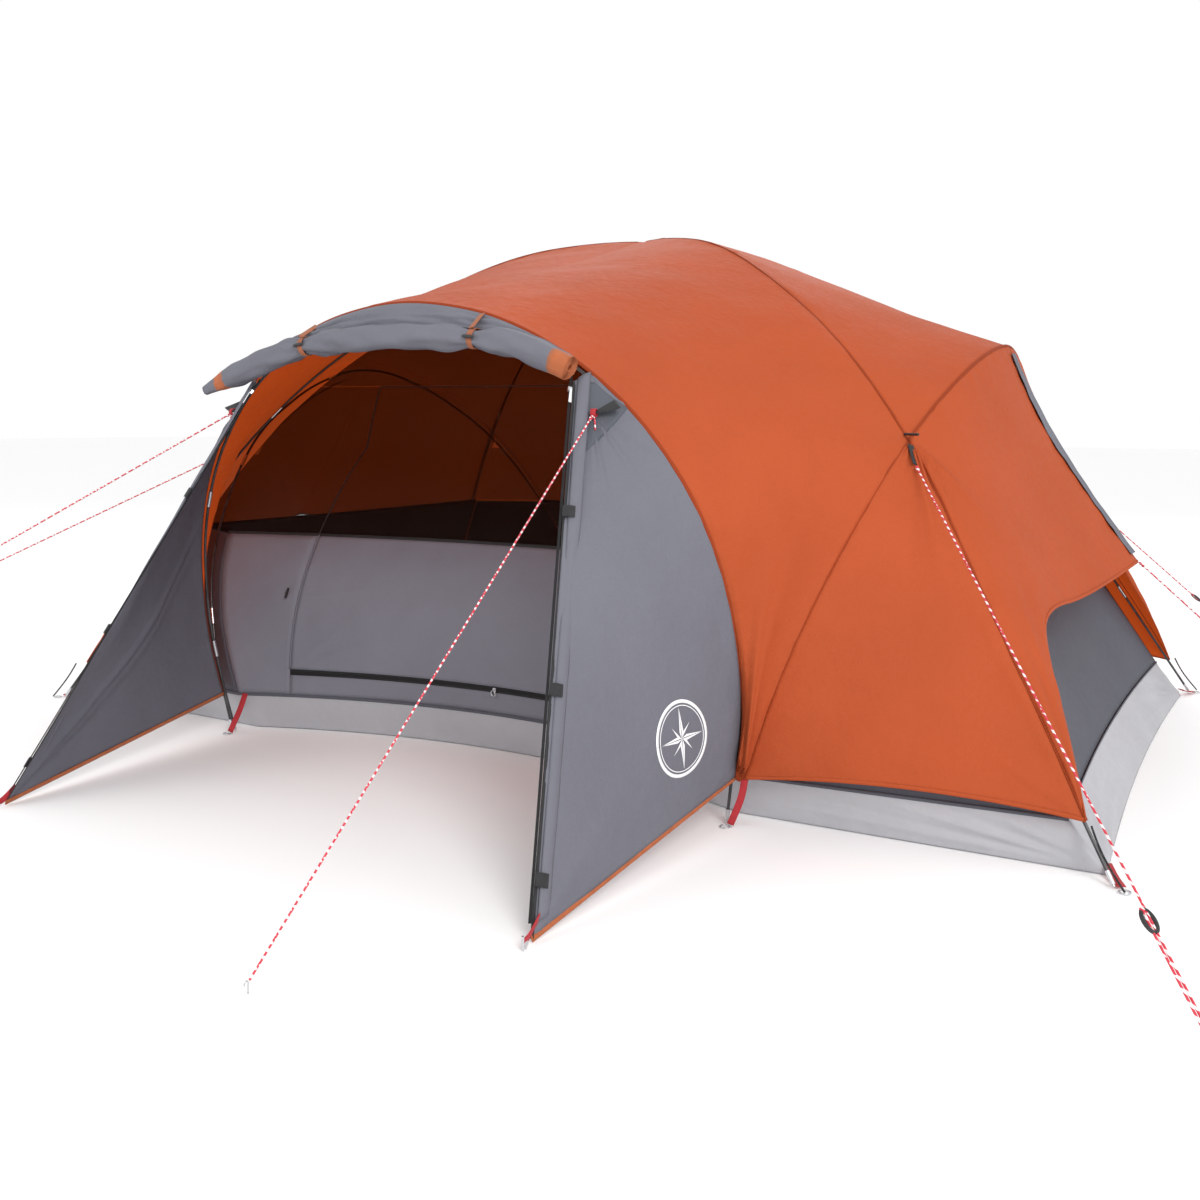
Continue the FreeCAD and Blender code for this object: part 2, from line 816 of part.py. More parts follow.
def corner_wall(low, high, rows):
    grid = []
    for i in range(rows + 1):
        z = low + (high - low) * i / rows
        a, b = at_height(inner["side_low"], z), at_height(inner["diag_low"], z)
        grid.append([mix(a, b, j / 4) for j in range(5)])
    return grid


def four(grid):
    return [grid, each(grid, flip_x), each(grid, flip_y), each(grid, lambda p: flip_x(flip_y(p)))]


LOW, WALL, SPLIT = dim("tub_z") + 5, dim("wall_z"), 3.0
sheets(
    "front_wall_cloth",
    wall_patch(None, DOOR_LEFT, LOW, WALL - SPLIT, 5, 2),
    wall_patch(DOOR_RIGHT, None, LOW, WALL - SPLIT, 5, 5),
    wall_patch(DOOR_LEFT, DOOR_RIGHT, LOW, SILL_TOP, 1, 10),
)
sheets(
    "front_wall_mesh",
    wall_patch(None, DOOR_LEFT, WALL + SPLIT, DOOR_TOP, 6, 3),
    wall_patch(DOOR_RIGHT, None, WALL + SPLIT, DOOR_TOP, 6, 5),
    wall_patch(None, None, DOOR_TOP + 2 * SPLIT, CROWN_Z - 14, 8, 12),
)
sheets("inner_door_cloth", wall_patch(DOOR_LEFT, DOOR_RIGHT, DOOR_BOTTOM, WALL - SPLIT, 5, 10))
sheets("inner_door_mesh", wall_patch(DOOR_LEFT, DOOR_RIGHT, WALL + SPLIT, DOOR_TOP - SPLIT, 6, 10))
sheets("back_wall_cloth", back_wall(LOW, WALL - SPLIT, 5))
sheets("back_wall_mesh", back_wall(WALL + SPLIT, CROWN_Z - 14, 14))
sheets("side_wall_cloth", side_wall_low(), each(side_wall_low(), flip_x))
sheets("side_wall_mesh", side_wall_mesh(), each(side_wall_mesh(), flip_x), gap=MESH_GAP)
hub_z = inner["diag_low"][-1].z
sheets("corner_wall_cloth", *four(corner_wall(LOW, WALL - SPLIT, 5)))
sheets("corner_wall_mesh", *four(corner_wall(WALL + SPLIT, hub_z - 28, 4)))
inner_roof = roof_side(inner, 40)
sheets("roof_mesh", inner_roof, each(inner_roof, flip_x), gap=MESH_GAP)

# The tub's rim follows the walls, and its floor has the same corners a little further out.

TUB_CORNER = Vector(2030, -1212, 0)
TUB_FOOT = Vector(1000, -1238, 0)
TUB_FRONT_MIDDLE = -1035.0
TUB_BACK_MIDDLE = 1195.0
TUB_SIDE_MIDDLE = 1996.0


def tub_ring(corner_at, foot_at, front_y, back_y, side_x, z, shrink=0.0):
    """Once round the tub, from the front foot on the right, against the clock."""
    c, f = corner_at, foot_at
    c = Vector(c.x - shrink, c.y + shrink, z)
    f = Vector(f.x, f.y + shrink, z)
    front_y, back_y, side_x = front_y + shrink, back_y - shrink, side_x - shrink
    ring = [mix(f, c, k / 4) for k in range(4)]
    for k in range(8):
        s = k / 4 - 1
        ring.append(Vector(side_x + (c.x - side_x) * s * s, -c.y * s, z))
    ring += [mix(flip_y(c), flip_y(f), k / 4) for k in range(4)]
    for k in range(12):
        s = 1 - k / 6
        ring.append(Vector(f.x * s, back_y + (-f.y - back_y) * s * s, z))
    ring += [mix(flip_x(flip_y(f)), flip_x(flip_y(c)), k / 4) for k in range(4)]
    for k in range(8):
        s = 1 - k / 4
        ring.append(Vector(-side_x - (c.x - side_x) * s * s, -c.y * s, z))
    ring += [mix(flip_x(c), flip_x(f), k / 4) for k in range(4)]
    for k in range(12):
        s = k / 6 - 1
        ring.append(Vector(f.x * s, front_y + (f.y - front_y) * s * s, z))
    return ring


def floor_tub():
    thick, z = 3.0, dim("tub_z")
    rim_corner = at_height(inner["diag_low"], z)
    rim_foot = at_height(inner["side_low"], z)
    rim = (rim_corner, rim_foot, rim_foot.y + FRONT_SAG, -rim_foot.y - BACK_SAG, rim_corner.x - SIDE_SAG)
    base = (TUB_CORNER, TUB_FOOT, TUB_FRONT_MIDDLE, TUB_BACK_MIDDLE, TUB_SIDE_MIDDLE)
    rings = [tub_ring(*base, 0), tub_ring(*rim, z)]
    rings += [tub_ring(*rim, z, thick), tub_ring(*base, thick, thick)]
    faces = [Part.Face(Part.makePolygon(rings[0] + rings[0][:1]))]
    faces.append(Part.Face(Part.makePolygon(rings[3] + rings[3][:1])))
    for low, high in zip(rings, rings[1:]):
        for k in range(len(low)):
            a, b = low[k], low[(k + 1) % len(low)]
            c, d = high[(k + 1) % len(low)], high[k]
            for corners in ((a, b, c), (a, c, d)):
                faces.append(Part.Face(Part.makePolygon(list(corners) + [corners[0]])))
    skin = Part.makeCompound(faces)
    skin.sewShape(0.01)
    solid = Part.makeSolid(skin.Shells[0])
    if solid.Volume < 0:
        solid.reverse()
    return solid


tub = doc.addObject("Part::Feature", "floor_tub")
tub.Shape = floor_tub()
keep(tub, "floor_tub")

# The door's zip runs along its lower edge on an arc about a far upright axis.

sill_edge = at_height(inner_half, 225)
ZIP_ARC_R = sill_edge.x**2 / (2 * FRONT_SAG)
ZIP_ARC_Y = sill_edge.y + FRONT_SAG - ZIP_ARC_R
DOOR_ZIP_Z = 225.0


def on_zip_arc(angle, z):
    return Vector(ZIP_ARC_R * math.sin(angle), ZIP_ARC_Y + ZIP_ARC_R * math.cos(angle), z)


def door_chain():
    first, last = math.asin((DOOR_LEFT + 12) / ZIP_ARC_R), math.asin((DOOR_RIGHT - 12) / ZIP_ARC_R)
    half = dim("zip_width") / 2
    rows = []
    for z in (DOOR_ZIP_Z - half, DOOR_ZIP_Z + half):
        rows.append([on_zip_arc(first + (last - first) * k / 24, z) for k in range(25)])
    return rows


sheets("door_zip_chain", door_chain(), thick=dim("zip_thick"), gap=0.0)
DOOR_SLIDER_X = -20.0
slider_turn = frame_along(Vector(1, 0, 0), Vector(0, 0, 1))
slot_turn = Rotation(Vector(0, 1, 0), Vector(0, 0, 1), Vector(1, 0, 0), "XYZ")
slider_place = on_zip_arc(math.asin(DOOR_SLIDER_X / ZIP_ARC_R), DOOR_ZIP_Z)
slider = slotted_slider("door_zip_slider", slider_place, slider_turn.multiply(slot_turn))
keep(slider, "door_zip_slider")

# Tie-back toggle beside the door, and the lamp loop under the crown.

TOGGLE_AT = Vector(-885, -1178, 520)
toggle = cylinder("door_toggle_bar", TOGGLE_AT + Vector(-8, 0, -18), TOGGLE_AT + Vector(8, 0, 18), 4.5)
keep(toggle, "door_tie_toggle")
lamp = doc.addObject("Part::Torus", "lamp_loop")
lamp.Radius1 = 16
lamp.Radius2 = 2.5
lamp.Placement = Placement(Vector(0, 0, CROWN_Z - 60), Rotation(Vector(1, 0, 0), 90))
keep(lamp, "lamp_loop")

# ------------------------------------------------------------------ rolled porch door

ROLL_RADIUS = 38.0
ROLL_LINE = [Vector(628, -1616, 1312), Vector(500, -1609, 1366), Vector(400, -1609, 1390)]
ROLL_LINE += [Vector(206, -1611, 1411), Vector(-50, -1612, 1415), Vector(-255, -1611, 1407)]
ROLL_LINE += [Vector(-435, -1607, 1381), Vector(-645, -1601, 1321), Vector(-815, -1592, 1262)]
roll = doc.addObject("Part::Feature", "rolled_porch_door")
roll.Shape = bent_tube(ROLL_LINE, ROLL_RADIUS)
keep(roll, "rolled_porch_door")


def valance():
    """The flat strip of the door between the arch's seam and the roll."""
    arch = mirrored(front_half)
    columns = 12
    top, bottom = [], []
    for k in range(columns + 1):
        x = 330 - 790 * k / columns
        seam = split(arch, lambda p: p.x - x)[0][-1]
        line = split(ROLL_LINE, lambda p: p.x - x)[0][-1]
        top.append(seam + Vector(0, -9, -3))
        bottom.append(line + Vector(0, 8, ROLL_RADIUS + 5))
    return ruled(top, bottom, 3)


sheets("porch_valance", valance(), gap=0.0)
ties = []
for number, (at, way) in enumerate(((0.5, 3), (0.5, 6))):
    a, b = ROLL_LINE[way], ROLL_LINE[way - 1]
    middle = mix(a, b, at)
    along = (b - a).normalize()
    name = f"roll_tie_{number}"
    half_band = along * (dim("webbing") / 2)
    ties.append(tube(name, middle - half_band, middle + half_band, ROLL_RADIUS + 2.2, ROLL_RADIUS + 0.5))
    down = middle + Vector(0, -20, -ROLL_RADIUS - 4)
    ties.append(cylinder(f"{name}_toggle", down - along * 16, down + along * 16, 4.5))
group("roll_ties", ties)

# --------------------------------------------------------- straps, elastics, toggles


def strap(name, start, end, face):
    """A flat strap from one point to another, facing the way of face."""
    way = end - start
    turn = frame_along(way, Vector(face).cross(way))
    return box(name, way.Length, "webbing", "webbing_thick", start, turn)


straps, elastics, toggles, loops = [], [], [], []
for sx in (1, -1):
    for sy in (1, -1):
        turn = lambda p, sx=sx, sy=sy: Vector(p.x * sx, p.y * sy, p.z)
        mark = f"{sx}_{sy}".replace("-", "m")
        foot_a, foot_b = turn(Vector(1066, -1368, 134)), turn(Vector(1032, -1374, 12))
        straps.append(strap(f"foot_strap_{mark}", foot_a, foot_b, turn(Vector(0.3, -1, 0))))
        corner_a, corner_b = turn(Vector(2040, -1222, 16)), turn(Vector(2070, -1290, 8))
        straps.append(strap(f"corner_strap_{mark}", corner_a, corner_b, Vector(0, 0, 1)))
        hem = turn(Vector(1990, -1290, 128))
        ring_top = turn(Vector(2086, -1338, 8))
        elastics.append(cylinder(f"elastic_{mark}", hem, ring_top, 1.8))
        out = turn(Vector(0.35, -0.60, 0.72))
        bar = turn(Vector(0.84, -0.53, 0)) * 30
        spot = turn(HUB) + out * 30
        toggles.append(cylinder(f"hub_bar_{mark}", spot - bar, spot + bar, 4.0))
        low = turn(HUB + Vector(20, -34, -40))
        hanging = low + turn(Vector(14, -22, -22))
        loops.append(strap(f"hub_loop_{mark}", low, hanging, turn(Vector(1, 0.6, 0))))
GUY_SEAM = Vector(732, -1552, 1208)
GUY_OUT = Vector(690, -1590, 1192)
for sx in (1, -1):
    a, b = Vector(GUY_SEAM.x * sx, GUY_SEAM.y, GUY_SEAM.z), Vector(GUY_OUT.x * sx, GUY_OUT.y, GUY_OUT.z)
    loops.append(strap(f"arch_loop_{sx + 1}", a, b, Vector(0, 0, 1)))
group("red_straps", straps)
group("hem_elastics", elastics)
group("hub_toggles", toggles)
group("guy_loops", loops)


def emblem():
    """A generic badge printed low on the right wing, as a thin patch over the cloth."""
    grid = wing()
    rows = []
    for i in range(5):
        u = 1.6 + 2.2 * i / 4
        row = []
        for j in range(4):
            v = 2.1 + 1.3 * j / 3
            a, b = int(v), int(u)
            near = mix(grid[a][b], grid[a][b + 1], u - b)
            far = mix(grid[a + 1][b], grid[a + 1][b + 1], u - b)
            row.append(mix(near, far, v - a))
        rows.append(row)
    normal = (rows[-1][0] - rows[0][0]).cross(rows[0][-1] - rows[0][0]).normalize()
    if normal.x < 0:
        normal = normal * -1
    return each(rows, lambda p: p + normal * 5)


sheets("porch_emblem", emblem(), thick=0.8, gap=0.0)

# ----------------------------------------------------------------- guy lines and pegs

HUB_GUY = HUB + Vector(40, -64, -68)
PEG_Z = 22.0
GUYS = {
    "guy_front_right": (GUY_OUT, Vector(584, -2817, 0)),
    "guy_front_left": (flip_x(GUY_OUT), Vector(-2140, -2970, 0)),
    "guy_hub_front_right": (HUB_GUY, Vector(2420, -2420, 0)),
    "guy_hub_front_left": (flip_x(HUB_GUY), Vector(-2500, -2830, 0)),
    "guy_hub_back_right": (flip_y(HUB_GUY), Vector(2400, 1900, 0)),
    "guy_awning_right": (AWNING_TIP, Vector(2650, 300, 0)),
}
RUNNER_SHARE = {"guy_hub_front_right": 0.785, "guy_hub_front_left": 0.8, "guy_hub_back_right": 0.64}
RUNNERS = {"guy_hub_front_right": "runner_front_right", "guy_hub_back_right": "runner_back_right"}
RETURN_GAP = 7.0
peg_parts = []
for label, (start, anchor) in GUYS.items():
    end = anchor + Vector(0, 0, PEG_Z)
    way = (end - start).normalize()
    begin = start + way * 6
    stop = end - way * (dim("peg_radius") + 3.0)
    line = cylinder(label, begin, stop, "guy_radius")
    if "hub" in label:
        runner_at = mix(begin, stop, RUNNER_SHARE[label])
        aside = way.cross(Vector(0, 0, 1)).normalize() * RETURN_GAP
        turned = runner_at - way * 24 + aside
        back = cylinder(f"{label}_return", turned, stop + aside - way * 4, "guy_radius")
        main = cylinder(f"{label}_main", begin, stop, "guy_radius")
        doc.removeObject(line.Name)
        group(label, [main, back])
        if label in RUNNERS:
            name = RUNNERS[label]
            far = RETURN_GAP + 6
            ring = [(-6, -5), (far, -5), (far + 2, 0), (far, 5), (-6, 5), (-8, 0)]
            bore = dim("guy_radius") + 0.7
            body = padded_body(name, ring, 40, [(0, 0, bore), (RETURN_GAP, 0, bore)])
            body.Placement = Placement(runner_at, Rotation(aside, way.cross(aside), way, "XYZ"))
            keep(body, name)
    else:
        keep(line, label)
    shaft = cylinder(f"{label}_peg", anchor, anchor + Vector(0, 0, dim("peg_height")), "peg_radius")
    peg_parts.append(shaft)
group("guy_pegs", peg_parts)
wing_pegs = []
for sx in (1, -1):
    at = Vector(sx * (dim("wing_x") + 8), -dim("wing_y") - 34, 0)
    top = at + Vector(0, 0, dim("peg_height"))
    wing_pegs.append(cylinder(f"wing_peg_{sx + 1}", at, top, "peg_radius"))
    loop_a = Vector(sx * (dim("wing_x") + 2), -dim("wing_y") - 8, 14)
    loop_b = Vector(sx * (dim("wing_x") + 7), -dim("wing_y") - 27, 8)
    wing_pegs.append(strap(f"wing_loop_{sx + 1}", loop_a, loop_b, Vector(1, 0, 0.2)))
group("wing_pegs", wing_pegs)

doc.recompute()

bad = [o.Name for o in doc.Objects if "Invalid" in o.State or "Error" in o.State]
for piece in nodes:
    if piece.Shape.isNull() or not piece.Shape.isValid():
        bad.append(piece.Label)
if bad:
    raise RuntimeError(f"these pieces failed: {bad}")

os.makedirs("parts", exist_ok=True)
for piece in nodes:
    piece.Shape.exportStep(f"parts/{piece.Label}.step")
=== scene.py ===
import math

import bpy
import numpy as np
from mathutils import Matrix, Vector


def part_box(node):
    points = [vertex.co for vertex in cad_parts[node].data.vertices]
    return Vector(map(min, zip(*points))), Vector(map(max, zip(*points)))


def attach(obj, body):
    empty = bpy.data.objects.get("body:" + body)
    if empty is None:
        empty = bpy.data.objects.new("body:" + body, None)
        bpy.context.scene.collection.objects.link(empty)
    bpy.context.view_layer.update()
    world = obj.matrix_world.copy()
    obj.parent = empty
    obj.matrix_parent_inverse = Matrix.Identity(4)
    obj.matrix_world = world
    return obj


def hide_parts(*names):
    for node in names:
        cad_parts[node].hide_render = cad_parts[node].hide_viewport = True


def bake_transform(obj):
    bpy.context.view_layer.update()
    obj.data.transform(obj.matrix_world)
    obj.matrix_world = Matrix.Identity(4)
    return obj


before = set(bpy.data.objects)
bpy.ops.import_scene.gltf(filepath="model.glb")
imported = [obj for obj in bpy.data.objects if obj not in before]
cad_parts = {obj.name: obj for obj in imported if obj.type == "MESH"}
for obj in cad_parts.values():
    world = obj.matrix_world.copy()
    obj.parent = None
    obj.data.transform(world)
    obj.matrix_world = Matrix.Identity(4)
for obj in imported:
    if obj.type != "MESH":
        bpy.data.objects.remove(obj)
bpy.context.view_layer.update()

# Metres throughout: X to the tent's right, -Y to its porch, Z up, the ground at Z 0.

# --------------------------------------------------------------- driving dimensions

CORNER = (2.060, 1.300)
FOOT = (1.012, 1.345)
ARCH_LEAN, SIDE_LEAN = 0.14, 0.3144
WING_PEG = np.array([0.953, -2.330, 0.006])
ZIP_TOP_X = 0.585
SHORTEST = 1e-9
HEM_Z, WALL_Z, TUB_Z = 0.150, 0.730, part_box("floor_tub")[1][2]
AWNING_TIP = np.array([1.935, 0, 0.703])
CLOTH = 0.0012
CORNER_R = math.hypot(*CORNER)

FRONT_ARCH = [(1.005, 0), (1.052, 0.200), (1.072, 0.450), (1.030, 0.760)]
FRONT_ARCH += [(0.910, 1.030), (0.700, 1.275), (0.400, 1.455), (0.115, 1.518)]
SIDE_ARCH = [(1.345, 0), (1.375, 0.270), (1.300, 0.600), (1.100, 0.900)]
SIDE_ARCH += [(0.830, 1.160), (0.450, 1.352), (0.130, 1.440)]
DIAGONAL = [(CORNER_R, 0), (2.255, 0.270), (1.970, 0.650), (1.675, 1.055)]
DIAGONAL += [(1.365, 1.360), (1.005, 1.605), (0.560, 1.827), (0.170, 1.893)]

AS_IS, FLIP_X, FLIP_Y = np.ones(3), np.array([-1.0, 1, 1]), np.array([1.0, -1, 1])
SIDES = (("right", AS_IS), ("left", FLIP_X))
ENDS = (("front", AS_IS), ("back", FLIP_Y))
QUARTERS = [(side, end, flip * turn) for side, flip in SIDES for end, turn in ENDS]
DOWN = (0, 0, -1)

# ------------------------------------------------------------------ lines and surfaces


def unit(v):
    """Vectors brought to length 1; one too short to have a direction stays near nothing."""
    return v / np.maximum(np.linalg.norm(v, axis=-1, keepdims=True), SHORTEST)


def smooth(control, steps=14):
    """Points of the quadratic curve that is tangent to every side of the control line."""
    control = np.array(control, float)
    breaks = [control[0], *((control[1:-2] + control[2:-1]) / 2), control[-1]]
    points = [control[0]]
    for start, middle, end in zip(breaks, control[1:-1], breaks[1:]):
        for t in np.linspace(0, 1, steps + 1)[1:]:
            points.append(start * (1 - t) ** 2 + middle * 2 * t * (1 - t) + end * t * t)
    return np.array(points)


def inset(half, distance, foot=0.0):
    """The half outline moved inwards, square to itself; foot moves its ground point."""
    whole = half + [(-half[-1][0], half[-1][1])]
    moved = [(half[0][0] - foot, half[0][1])]
    for before, here, after in zip(whole, whole[1:], whole[2:]):
        run, rise = after[0] - before[0], after[1] - before[1]
        length = math.hypot(run, rise)
        moved.append((here[0] - distance * rise / length, here[1] + distance * run / length))
    return moved


def half_curve(half, place):
    points = smooth([place(a, b) for a, b in half + [(-a, b) for a, b in reversed(half)]])
    return points[: len(points) // 2 + 1]


def front_place(a, b):
    return (a, -FOOT[1] - ARCH_LEAN * b, b)


def side_place(shift):
    return lambda a, b: (FOOT[0] - shift + SIDE_LEAN * b, -a, b)


def diagonal_place(a, b):
    return (CORNER[0] / CORNER_R * a, -CORNER[1] / CORNER_R * a, b)


def split(points, values):
    """Cuts a line of points where the values pass zero; gives the two parts."""
    k = int(np.flatnonzero(values[:-1] * values[1:] <= 0)[0])
    share = values[k] / (values[k] - values[k + 1])
    cut = points[k] * (1 - share) + points[k + 1] * share
    return np.vstack([points[: k + 1], cut]), np.vstack([cut, points[k + 1 :]])


def above(points, z):
    return split(points, points[:, 2] - z)[1]


def at_height(points, z):
    return above(points, z)[0]


def reach_along(points):
    return np.r_[0, np.cumsum(np.linalg.norm(np.diff(points, axis=0), axis=1))]


def spread(points, count):
    """count + 1 points at equal distances along a line of points."""
    points = np.asarray(points, float)
    reach = reach_along(points)
    want = np.linspace(0, reach[-1], count + 1)
    return np.stack([np.interp(want, reach, points[:, k]) for k in range(3)], axis=1)


def over(half, flip):
    """A line over the crown and down its mirror image."""
    return np.vstack([half, half[-2::-1] * flip])


def rows_of(half, flip, count):
    return spread(over(half, flip), count)


def seams(distance, foot, shift):
    """The right front quarter's seams: side arch and diagonal, each cut at the hub."""
    side = half_curve(inset(SIDE_ARCH, distance, foot), side_place(shift))
    diagonal = half_curve(inset(DIAGONAL, distance, foot), diagonal_place)
    plane = diagonal[:, 0] - (FOOT[0] - shift) - SIDE_LEAN * diagonal[:, 2]
    lower, upper = split(diagonal, plane)
    side_lower, side_upper = split(side, side[:, 2] - lower[-1][2])
    side_lower[-1] = side_upper[0] = lower[-1]
    return {"side_low": side_lower, "side_up": side_upper, "diag_low": lower, "diag_up": upper}


def down_shares(count):
    return np.linspace(0, 1, count)[:, None, None]


def along_shares(count):
    return np.linspace(0, 1, count)[None, :, None]


def ruled(first, second, count):
    t = down_shares(count + 1)
    return first[None] * (1 - t) + second[None] * t


def hump(n):
    s = np.linspace(0, 1, n)
    return 4 * s * (1 - s)


def coons(top, bottom, left, right):
    """A patch between four edge lines: top and bottom run left to right."""
    u, v = along_shares(len(top)), down_shares(len(left))
    flat = (top[0] * (1 - u) + top[-1] * u) * (1 - v) + (bottom[0] * (1 - u) + bottom[-1] * u) * v
    return top[None] * (1 - v) + bottom[None] * v + left[:, None] * (1 - u) + right[:, None] * u - flat


fly, inner = seams(0, 0, 0), seams(0.062, 0.062, 0.020)
front_half = half_curve(FRONT_ARCH, front_place)
HUB, APEX, CREST = fly["diag_low"][-1], fly["side_up"][-1], fly["diag_up"][-1]
FOOT_TOP, CORNER_TOP = (above(fly[part], HEM_Z)[0] for part in ("side_low", "diag_low"))
inner_half = np.vstack([inner["side_low"], inner["diag_up"][1:]])
CROWN_Z = inner_half[-1][2]


def ridge(curves, z):
    return np.vstack([above(curves["side_low"], z), curves["diag_up"][1:]])


def normals(grid):
    return unit(np.cross(np.gradient(grid, axis=0), np.gradient(grid, axis=1)))


def outward(grid, centre=(0, 0, 0.5)):
    """The grid turned so that its faces look away from the tent's middle."""
    look = (normals(grid) * (grid - np.array(centre))).sum(2).mean()
    return grid if look < 0 else grid[:, ::-1]


# ------------------------------------------------------------------------- wrinkles


def gaps(grid, axis):
    return np.linalg.norm(np.diff(grid, axis=axis), axis=2)


def ripple(grid, amount, size, seed):
    """A soft random swell: many waves in random directions, size metres long."""
    r = np.random.default_rng(seed)
    total = np.zeros(grid.shape[:2])
    for _ in range(9):
        way = r.normal(size=3)
        way *= 2 * math.pi / (size * r.uniform(0.7, 1.6)) / np.linalg.norm(way)
        total += np.sin(grid @ way + r.uniform(0, 2 * math.pi))
    return amount * total / 3


def rays(grid, centre, towards, side, reach, amount, count, seed, spread_deg=50):
    """Tension folds that fan out of one point, deepest near it."""
    r = np.random.default_rng(seed)
    off = grid - np.array(centre)
    a, b = (off @ unit(np.array(v, float)) for v in (towards, side))
    angle, far = np.arctan2(b, a), np.linalg.norm(off, axis=2)
    total = np.zeros(grid.shape[:2])
    for _ in range(count):
        at = math.radians(r.uniform(-spread_deg, spread_deg))
        width = math.radians(r.uniform(1.6, 4.5))
        length = reach * r.uniform(0.5, 1.1)
        fade = (far / 0.05).clip(0, 1) * np.exp(-((far / length) ** 2))
        total += r.uniform(0.4, 1) * np.exp(-(((angle - at) / width) ** 2)) * fade
    return amount * total


def edge_fade(grid, rim=0.03):
    """0 along all four edges of the grid and 1 inside."""
    m, n = grid.shape[:2]
    i, j = np.arange(m)[:, None], np.arange(n)[None]
    rows, columns = gaps(grid, 0).mean(), gaps(grid, 1).mean()
    near = np.minimum(np.minimum(i, m - 1 - i) * rows, np.minimum(j, n - 1 - j) * columns)
    return (near / rim).clip(0, 1) ** 0.7


def fans(grid, seed):
    """The folds that pull towards the hubs and the pole feet."""
    total = np.zeros(grid.shape[:2])
    for *_, flip in QUARTERS:
        hub, foot, corner = HUB * flip, FOOT_TOP * flip, CORNER_TOP * flip
        beside = hub - foot + 0.22 * (corner - foot)
        for centre, towards, aside, *shape, step, angle in (
            (hub, foot - hub, (1.0, 0.3, 0), 0.36, 0.013, 10, 0, 65),
            (foot, hub - foot, (1.0, 0, 0), 0.40, 0.008, 9, 1, 40),
            (foot, hub - foot, (1.0, 0, 0), 0.95, 0.015, 10, 3, 16),
            (foot, beside, (1.0, 0, 0), 0.75, 0.015, 8, 6, 12),
            (corner, hub - corner, (1.0, 1, 0), 0.32, 0.006, 8, 2, 50),
            (corner, hub - corner, (1.0, 1, 0), 0.75, 0.010, 7, 4, 14),
        ):
            if np.linalg.norm(grid - centre, axis=2).min() < 0.1:
                total += rays(grid, centre, towards, aside * flip, *shape, seed + step, angle)
    return total


def puckers(grid, seed, amount=0.0016):
    """Short gathers that the stitching leaves square to every edge."""
    r = np.random.default_rng(seed)
    total = np.zeros(grid.shape[:2])
    for axis in (0, 1):
        along = gaps(grid, 1 - axis).mean() * np.arange(grid.shape[1 - axis])
        gather = sum(np.sin(along * 2 * math.pi / r.uniform(0.07, 0.17) + r.uniform(0, 6)) for _ in range(3))
        k = np.arange(grid.shape[axis])
        near = np.exp(-np.minimum(k, len(k) - 1 - k) * gaps(grid, axis).mean() / 0.045)
        total += near[:, None] * gather[None] if axis == 0 else near[None] * gather[:, None]
    return amount * total


def draped(grid, seed, amount=0.004):
    """A fly panel's wrinkles; they die away at its edges and at the crown."""
    swell = ripple(grid, amount, 0.55, seed) + ripple(grid, amount * 0.35, 0.16, seed + 50)
    calm = 1 - np.exp(-((np.linalg.norm(grid - CREST, axis=2) / 0.07) ** 2))
    return (swell + fans(grid, seed) + puckers(grid, seed)) * edge_fade(grid, 0.035) * calm


def crease(grid, start, end, width, height):
    """A sharp packing fold along a line that is straight when seen square to the sheet."""
    face = unit(normals(grid).mean((0, 1)))
    way = np.array(end) - np.array(start)
    way = way - way @ face * face
    off = grid - np.array(start)
    off = off - (off @ face)[..., None] * face
    share = (off @ way / (way @ way)).clip(0, 1)
    far = np.linalg.norm(off - share[..., None] * way, axis=2)
    return height * np.exp(-far / width) * np.sin(math.pi * share.clip(0.02, 0.98)) ** 0.5


# ------------------------------------------------------------------------ materials


def nodes_of(name, **constants):
    material = bpy.data.materials.new(name)
    material.use_nodes = True
    tree = material.node_tree
    shader = tree.nodes["Principled BSDF"]
    for key, value in constants.items():
        shader.inputs[key.replace("_", " ")].default_value = value
    return material, tree, shader


def node(tree, kind, **values):
    made = tree.nodes.new(kind)
    for key, value in values.items():
        if hasattr(made, key):
            setattr(made, key, value)
        else:
            made.inputs[key.replace("_", " ")].default_value = value
    return made


def places(tree):
    outputs = node(tree, "ShaderNodeTexCoord").outputs
    return outputs["UV"], outputs["Object"]


def fill(tree, sockets, values):
    """Each value is a constant, a colour or another node's output."""
    for socket, value in zip(sockets, values):
        if isinstance(value, bpy.types.NodeSocket):
            tree.links.new(value, socket)
        else:
            socket.default_value = (*value, 1) if isinstance(value, tuple) else value


def mix_colour(tree, factor, a, b):
    made = node(tree, "ShaderNodeMix", data_type="RGBA")
    fill(tree, (made.inputs[0], made.inputs[6], made.inputs[7]), (factor, a, b))
    return made.outputs[2]


def maths(tree, kind, *values):
    made = node(tree, "ShaderNodeMath", operation=kind)
    fill(tree, made.inputs, values)
    return made.outputs[0]


def noise(tree, where, scale, detail=3.0, rough=0.55):
    made = node(tree, "ShaderNodeTexNoise", Scale=scale, Detail=detail, Roughness=rough)
    tree.links.new(where, made.inputs["Vector"])
    return made.outputs["Fac"]


def ramp(tree, value, low, high):
    made = node(tree, "ShaderNodeMapRange", From_Min=low, From_Max=high)
    tree.links.new(value, made.inputs["Value"])
    return made.outputs["Result"]


def bands(tree, where, pitch, axis):
    """0 to 1 stripes across one axis, pitch metres apart."""
    made = node(tree, "ShaderNodeTexWave", Scale=math.pi / 10 / pitch, bands_direction=axis)
    tree.links.new(where, made.inputs["Vector"])
    return made.outputs["Fac"]


def crossed(tree, kind, where, pitch):
    return maths(tree, kind, bands(tree, where, pitch, "X"), bands(tree, where, pitch, "Y"))


